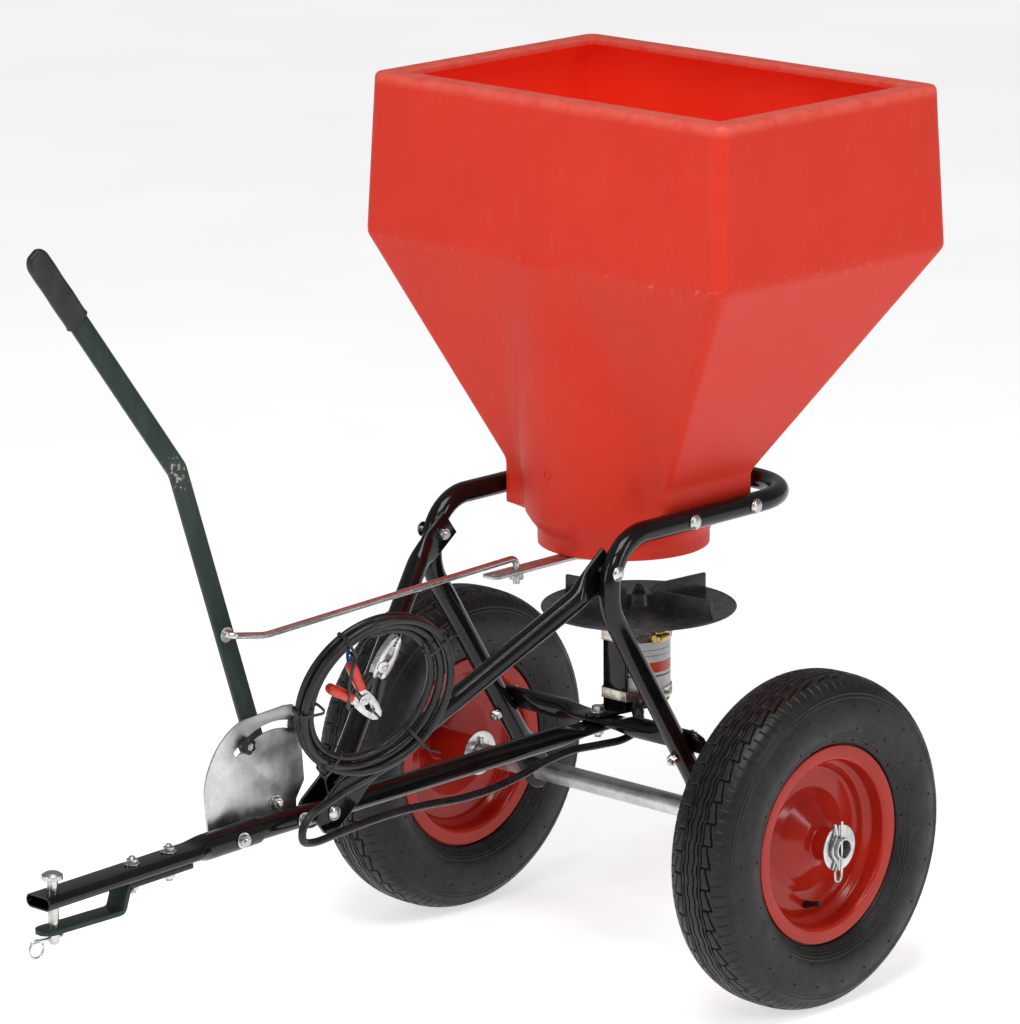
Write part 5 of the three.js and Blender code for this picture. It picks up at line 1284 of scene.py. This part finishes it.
def hopper_ring(z, inset, shift=0.0, spread=0.0):
    """One ring. spread averages the section over a height, which softens the knee and the pads."""
    total = 0
    samples = np.linspace(-spread, spread, 5) if spread else [0.0]
    angles = np.arange(HOPPER_COUNT) * 2 * math.pi / HOPPER_COUNT
    c, s = np.abs(np.cos(angles)) + 1e-9, np.abs(np.sin(angles)) + 1e-9
    for dz in samples:
        rect, cone = section(min(z - shift + dz, HOPPER_TOP))
        front, back = (rect or PAD)[1:3]
        middle = (front + back) / 2
        radius = np.zeros(HOPPER_COUNT)
        if cone:
            along = middle * np.sin(angles)
            radius = -along + np.sqrt((cone - inset) ** 2 - middle * middle + along * along)
        if rect:
            half_x, half_y, corner = rect[0] - inset, (back - front) / 2 - inset, max(rect[3] - inset, 3)
            flat_x, flat_y = half_x / c, half_y / s
            p = (half_x - corner) * c + (half_y - corner) * s
            q = (half_x - corner) ** 2 + (half_y - corner) ** 2 - corner ** 2
            edge = p + np.sqrt(np.maximum(p * p - q, 0))
            edge = np.where(flat_x * s <= half_y - corner, flat_x,
                            np.where(flat_y * c <= half_x - corner, flat_y, edge))
            h = np.maximum(CREASE - np.abs(edge - radius), 0) / CREASE if cone else 0
            radius = np.maximum(edge, radius) + h * h * CREASE / 4
        total = total + np.stack([radius * np.cos(angles), middle + radius * np.sin(angles)], 1)
    flat = total / len(samples)
    return np.column_stack([flat, np.full(HOPPER_COUNT, float(z))])


def hopper_shape():
    """The moulding as one closed skin: up the outside, over the rim, and down the inside."""
    rings = [hopper_ring(SPOUT_BOTTOM, 1.0), hopper_ring(SPOUT_BOTTOM + 0.6, 0.2)]
    heights = sorted({*np.arange(514, PAD_BOTTOM - 3, 4), *np.arange(PAD_BOTTOM + 3, 612, 4),
                      *np.arange(616, 846, 12), *np.arange(848, 882, 4), *np.arange(892, 1040, 14)})
    outer = []
    for z in heights:
        near_knee = 4 * (1 - smooth(abs(z - HOPPER_KNEE), 6, 14))
        near_pad = 5 * (1 - smooth(abs(z - PAD_TOP), 8, 14))
        outer.append((z, max(near_knee, near_pad)))
    rings += [hopper_ring(z, 0.0, spread=spread) for z, spread in outer]
    for t in np.linspace(0, math.pi / 2, 7):
        rings.append(hopper_ring(HOPPER_TOP - 7 + 7 * math.sin(t), 7 * (1 - math.cos(t)) * 0.85))
    mouth = lambda z, inset: np.column_stack([hopper_ring(HOPPER_TOP, inset)[:, :2],
                                              np.full(HOPPER_COUNT, z)])
    rings += [mouth(HOPPER_TOP, inset) for inset in (14, 24)]
    for t in np.linspace(0, math.pi / 2, 5):
        rings.append(mouth(HOPPER_TOP - 3 * (1 - math.cos(t)), LIP - 3 + 3 * math.sin(t)))
    rings += [mouth(HOPPER_TOP - LIP_T - 0.4, LIP), mouth(HOPPER_TOP - LIP_T - 1, LIP - 1),
              mouth(HOPPER_TOP - LIP_T - 1.2, 18)]
    rings.append(hopper_ring(HOPPER_TOP - LIP_T - 1.5, WALL + 3))
    inner = WALL + 0.5
    rings += [hopper_ring(z, inner, spread=spread) for z,
              spread in reversed(outer) if z > PAD_BOTTOM + WALL + 4]
    rings += [hopper_ring(z, inner, shift=WALL) for z in (PAD_BOTTOM + WALL + 1, PAD_BOTTOM + WALL - 0.5,
                                                          540, 530, 520)]
    rings += [hopper_ring(SPOUT_BOTTOM, inner, shift=0)]
    return loft(rings, closed=True)


shell = piece("hopper_shell", hopper_shape(), RED, "frame", "hopper", sharp=40)
shell.data.materials.append(RED_INSIDE_PAINTED_GLOW)
RING_AT, RING_WAY = Vector((-8.5, -121.6, 608.4)), Vector((-0.063, -0.994, -0.093))
mark = moved(lathe([[4.4, -1.5], [4.6, 0.9], [5.6, 1.3], [6.6, 0.9], [6.8, -1.5], [4.4, -1.5]], 40),
             RING_AT,
             towards(RING_WAY))
piece("hopper_moulded_ring", mark, RED, "frame", sharp=60)
# painted light: the inward faces below the lip take the glowing copy of the plastic
for face in shell.data.polygons:
    outward = Vector((face.center.x, face.center.y - SHIFT_Y * MM - 0.05, 0))
    if face.center.z < (HOPPER_TOP - LIP_T) * MM and face.normal.dot(outward) < 0:
        face.material_index = 1

# ---------------------------------------------------------------- outlet, gate, motor and spinner

GATE_TOP, GATE_T, GATE_HALF, GATE_STRAP_HALF, GATE_TIP = 508.4, 3.0, 35, 12.5, -230


def circle(x, y, radius, count=48):
    return [(x + radius * math.cos(a),
             y + radius * math.sin(a)) for a in np.arange(count) * 2 * math.pi / count]


def block(x, y, z):
    """A box from three (low, high) pairs."""
    return prism([(x[0], y[0]), (x[1], y[0]), (x[1], y[1]), (x[0], y[1])], *z)


plate_low = GATE_TOP + GAP
disc = prism(circle(0, 0, 94.5, 96), plate_low, plate_low + 3, holes=[circle(0, 33, 28)])
lip_z = GATE_TOP - GATE_T - GAP
rails = []
for side, sign in SIDES:
    web, lip = sign * (GATE_HALF + GAP + 1.2), sign * (GATE_HALF - 1.4)
    rails.append(block((web - 1, web + 1), (-75, 75), (lip_z - 2, plate_low + 1)))
    rails.append(block((lip - 3.5, lip + 3.5), (-75, 75), (lip_z - 2, lip_z)))
piece("outlet_plate_sheet", join(disc, *rails), GALV, "frame", "outlet_plate")

gate_outline = [(-GATE_HALF, -5), (-GATE_HALF, -82), (-GATE_STRAP_HALF, -96), (-GATE_STRAP_HALF, GATE_TIP),
                (GATE_STRAP_HALF, GATE_TIP), (GATE_STRAP_HALF, -96), (GATE_HALF, -82), (GATE_HALF, -5)]
gate_outline = rounded(gate_outline, [3, 4, 3, 8, 8, 3, 4, 3], 5)
blade = prism(gate_outline, GATE_TOP - GATE_T, GATE_TOP,
              holes=[circle(0, ROD_END_Y, ROD_R + 0.7, 24), circle(0, GATE_TIP + 8.5, 3, 24)])
bush_outline = [(8.5, GATE_TOP - GATE_T), (8.5, GATE_TOP - GATE_T - 8.2), (7.7, GATE_TOP - GATE_T - 9),
                (ROD_R + 0.7, GATE_TOP - GATE_T - 9), (ROD_R + 0.7, GATE_TOP - GATE_T)]
bush = moved(lathe_ring(bush_outline, 40), (0, ROD_END_Y, 0))
piece("gate_blade", join(blade, bush), GALV, "gate", "gate_slide", bevel=0.3)

SPIN_Y, MOTOR_R, MOTOR_BASE, MOTOR_TOP = 26.3, 38, 307.6, 408
STRAP_Y, MOUNT_STRAP_T = SPIN_Y - MOTOR_R - GAP, 4.7
mount_low, mount_top = cross_axis.z + PRESSED + GAP, MOTOR_BASE - GAP


def mount_shape():
    arc = lambda x, y, r, start, end, n: [(x + r * math.cos(a),
                                           y + r * math.sin(a)) for a in np.linspace(start, end, n)]
    foot = arc(0, CENTRE_BOLT_Y, 15, math.pi, 2 * math.pi, 20) + [(21, STRAP_Y - 6)]
    foot += arc(0, SPIN_Y, MOTOR_R - 12, -0.35, math.pi + 0.35, 30) + [(-21, STRAP_Y - 6)]
    strap = rounded([(-18, mount_low), (18, mount_low), (18, MOTOR_TOP - 6), (-18, MOTOR_TOP - 6)],
                    [0, 0, 5, 5], 5)
    verts, faces = prism(strap, 0, MOUNT_STRAP_T)
    verts = np.stack([verts[:, 0], STRAP_Y - verts[:, 2], verts[:, 1]], 1)
    return join(prism(foot, mount_low, mount_top), (verts, faces))


piece("motor_mount_bracket", mount_shape(), GLOSS, "frame", "motor_mount", bevel=0.6)
add_bolt("mount_bolt", (0, CENTRE_BOLT_Y, mount_top), Z, mount_top - (drawbar_z(CENTRE_BOLT_Y) - PRESSED),
         head="hex")

base_cap = rounded([(0, MOTOR_BASE), (30, MOTOR_BASE), (MOTOR_R - 1, MOTOR_BASE + 3),
                    (MOTOR_R - 1, MOTOR_BASE + 14.5),
                    (0, MOTOR_BASE + 14.5)], [0, 1.5, 2, 0.6, 0], 4, closed=False)
piece("motor_end_cap", moved(lathe(base_cap, 96), (0, SPIN_Y, 0)), KNOB)
body = rounded([(0, MOTOR_BASE + 14.7), (MOTOR_R - 0.6, MOTOR_BASE + 14.7), (MOTOR_R, MOTOR_BASE + 15.5),
                (MOTOR_R, MOTOR_TOP - 7.6), (MOTOR_R - 0.7, MOTOR_TOP - 7.2),
                (MOTOR_R - 0.7, MOTOR_TOP - 6.4),
                (MOTOR_R, MOTOR_TOP - 6), (MOTOR_R, MOTOR_TOP - 2.5), (MOTOR_R - 2.5, MOTOR_TOP),
                (17, MOTOR_TOP),
                (15, 415), (4.3, 415), (4.3, 394), (0, 394)], 0.8, 4, closed=False)
piece("motor_can_wrap", moved(lathe(body, 96), (0, SPIN_Y, 0)), LABEL, "frame", "motor_can",
      sharp=50)


def band_path(grow):
    r = MOTOR_R + GAP + grow
    corner = (18.3 + grow, STRAP_Y - MOUNT_STRAP_T - GAP - grow - SPIN_Y)
    far = math.hypot(*corner)
    tangent = math.atan2(corner[1], corner[0]) + math.acos(r / far)
    arc = [(r * math.cos(a), r * math.sin(a)) for a in np.linspace(tangent, math.pi - tangent, 120)]
    fixed = rounded([arc[-1], (-corner[0], corner[1]), corner, arc[0]], 1.4, 4, closed=False)
    return fixed[1:-1] + arc


def hose_clamp_shape():
    height = 12.7
    outer, inner = band_path(1.1), band_path(0)
    lip = band_path(1.5)
    rings = []
    for path, z in ((inner, 0), (outer, 0.0), (lip, 0.4), (lip, 1.0), (outer, 1.5), (outer, height - 1.5),
                    (lip, height - 1.0), (lip, height - 0.4), (outer, height), (inner, height)):
        rings.append([(x, y, z) for x, y in path])
    band = loft(rings, closed=True)
    ribs = []
    for a in np.radians(np.arange(16, 168, 3.6)):
        c, s = math.cos(a), math.sin(a)
        r, w = MOTOR_R + GAP + 1.1, 0.7
        base = [(r - 0.3, -w), (r - 0.3, w), (r + 0.5, w * 0.6), (r + 0.5, -w * 0.6)]
        flat = [(x * c - y * s, x * s + y * c) for x, y in base]
        ribs.append(prism(flat, 3.0, height - 3.0))
    screw_r = MOTOR_R + GAP + 5.4
    at = (screw_r * math.cos(math.radians(-8)), screw_r * math.sin(math.radians(-8)))
    housing = [[5.0 * math.cos(a),
                5.0 * math.sin(a) + height / 2] for a in np.linspace(-0.55, math.pi + 0.55, 16)]
    housing_v, housing_f = prism(housing, at[1] - 6, at[1] + 6)
    housing_v = np.stack([housing_v[:, 0] + at[0], housing_v[:, 2], housing_v[:, 1]], 1)
    saddle = block((at[0] - 5.0, at[0] + 1.2), (at[1] - 6, at[1] + 6), (0.6, height - 0.6))
    screw = moved(bolt_head(), (at[0], at[1] - 13, height / 2), towards(-Y))
    worm = rod_shape((at[0], at[1] - 8, height / 2), (at[0], at[1] + 11, height / 2), 3.6, 24, 0.8)
    return join(band, *ribs), join((housing_v, housing_f), saddle, screw, worm)


def bolt_head():
    """Slotted hexagon head of a clamp screw, standing on -Z and facing +Z."""
    hexed = hex_nut(-5, 0, 4.9, 0.5)
    slot_sides = join(block((-3.0, -0.55), (-2.4, 2.4), (-0.2, 0.55)),
                      block((0.55, 3.0), (-2.4, 2.4), (-0.2, 0.55)))
    return join(hexed, slot_sides)


clamp_band, clamp_screw = hose_clamp_shape()
for level, z, screw_paint in (("lower", 317, STEEL), ("upper", MOTOR_TOP - 20, BRASS)):
    piece(f"{level}_hose_band", moved(clamp_band, (0, SPIN_Y, z)), STEEL, "frame", f"{level}_hose_clamp",
          sharp=32)
    piece(f"{level}_hose_screw", moved(clamp_screw, (0, SPIN_Y, z)), screw_paint, "frame",
          f"{level}_hose_clamp",
          sharp=32)

SPINNER_R, SPINNER_Z, FIN_HEIGHT, HUB_TOP = 116.8, 425.6, 21, 440.6
FIN_END = SPINNER_R * 0.92


def spinner_shape():
    bore = 4.15
    disc = [(bore, SPINNER_Z - 3), (60, SPINNER_Z - 3.4), (SPINNER_R - 5, SPINNER_Z - 2.4),
            (SPINNER_R - 0.8, SPINNER_Z - 3.4),
            (SPINNER_R, SPINNER_Z - 2.4), (SPINNER_R, SPINNER_Z - 0.9), (SPINNER_R - 1.2, SPINNER_Z + 0.2),
            (SPINNER_R - 3.2, SPINNER_Z - 0.5), (60, SPINNER_Z - 1.1), (24, SPINNER_Z - 0.6),
            (18.4, SPINNER_Z + 1.6),
            (16, HUB_TOP - 1), (15, HUB_TOP), (bore, HUB_TOP)]
    disc = rounded(disc, [0.2, 6, 4, 0.5, 0.5, 0.6, 0.7, 2, 10, 6, 2.5, 0.8, 0.6, 0.2], 4)
    shapes = [lathe_ring(disc, 128)]
    fin = [(14, -1.2), (FIN_END, -1.2), (FIN_END, FIN_HEIGHT), (FIN_END - 4, FIN_HEIGHT), (32, FIN_HEIGHT),
           (14, FIN_HEIGHT - 8)]
    fin = rounded(fin, [0, 0, 4.5, 2, 6, 2], 5)
    for degrees in (6, 85, 187, 264):
        verts, faces = prism(fin, -1.5, 1.5)
        thin = 1 - 0.18 * np.clip(verts[:, 1] / FIN_HEIGHT, 0, 1)
        verts = np.stack([verts[:, 0], verts[:, 2] * thin, verts[:, 1] + SPINNER_Z], 1)
        foot = prism(rounded([(16, -2.3), (FIN_END + 1, -2.3), (FIN_END + 1, 2.3), (16, 2.3)], 1.5, 3),
                     -1.2, 0.3)
        foot = moved(foot, (0, 0, SPINNER_Z))
        turn = Quaternion(Z, math.radians(degrees))
        shapes += [moved((verts, faces), turn=turn), moved(foot, turn=turn)]
    return join(*shapes)


piece("spinner_moulding", moved(spinner_shape(), (0, SPIN_Y, 0)), DISC, "spinner", "spinner_disc",
      sharp=40, bevel=0.35)
seat = HUB_TOP + GAP
cap_nut = [[0, 395], [4, 395], [4, seat], [0, seat]]
dome = [[5.8 * math.cos(t), seat + 6.2 + 4.6 * math.sin(t)] for t in np.linspace(0.1, math.pi / 2, 8)]
cap = join(lathe(cap_nut, 32), washer(8, 3, seat, seat + 1.6), hex_nut(seat + 1.6, seat + 7, 6.5, 0.8),
           lathe([[0, seat + 5.8], *dome, [0, seat + 10.9]], 40))
piece("spinner_cap_nut", moved(cap, (0, SPIN_Y, 0)), KNOB, "spinner", "motor_shaft", sharp=35)

# ---------------------------------------------------------------- floor and light


def ground():
    """A wide, flat, pale floor."""
    count, radius = 96, 45
    verts = [(radius * math.cos(a), radius * math.sin(a),
              0) for a in np.arange(count) * 2 * math.pi / count]
    mesh = bpy.data.meshes.new("ground")
    mesh.from_pydata(verts, [], [tuple(range(count))])
    mesh.materials.append(pale_floor())
    return add_object("ground", mesh)


def soft_box(name, at, target, width, height, watts, color=(1, 1, 1)):
    data = bpy.data.lights.new(name, "AREA")
    data.shape = "RECTANGLE"
    data.size, data.size_y = width, height
    data.energy = watts
    data.color = color
    made = add_object(name, data)
    made.location = at
    made.rotation_euler = (Vector(target) - Vector(at)).to_track_quat("-Z", "Y").to_euler()
    return made


def studio():
    lights = [
        soft_box("top_softbox", (0.9, -0.7, 3.3), (0, 0.3, 0.6), 1.6, 1.6, 54),
        soft_box("left_softbox", (3.6, 0.9, 1.7), (0, 0, 0.5), 0.4, 2.2, 24),
        soft_box("front_softbox", (-0.9, -3.9, 1.8), (0, 0, 0.5), 0.4, 2.4, 26),
        soft_box("key_softbox", (2.3, -2.9, 3.4), (0, 0.3, 0.8), 0.9, 0.9, 27),
    ]
    world = bpy.data.worlds.new("studio")
    world.use_nodes = True
    tree = world.node_tree
    background = tree.nodes["Background"]
    background.inputs["Color"].default_value = (1, 1, 1, 1)
    seen = tree.nodes.new("ShaderNodeLightPath").outputs["Is Camera Ray"]
    strength = tree.nodes.new("ShaderNodeMapRange")
    strength.inputs["To Min"].default_value = WORLD_LIGHT
    strength.inputs["To Max"].default_value = WORLD_SEEN
    tree.links.new(seen, strength.inputs["Value"])
    tree.links.new(strength.outputs["Result"], background.inputs["Strength"])
    bpy.context.scene.world = world
    view = bpy.context.scene.view_settings
    view.view_transform = "Standard"
    return lights


ground()
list(studio())
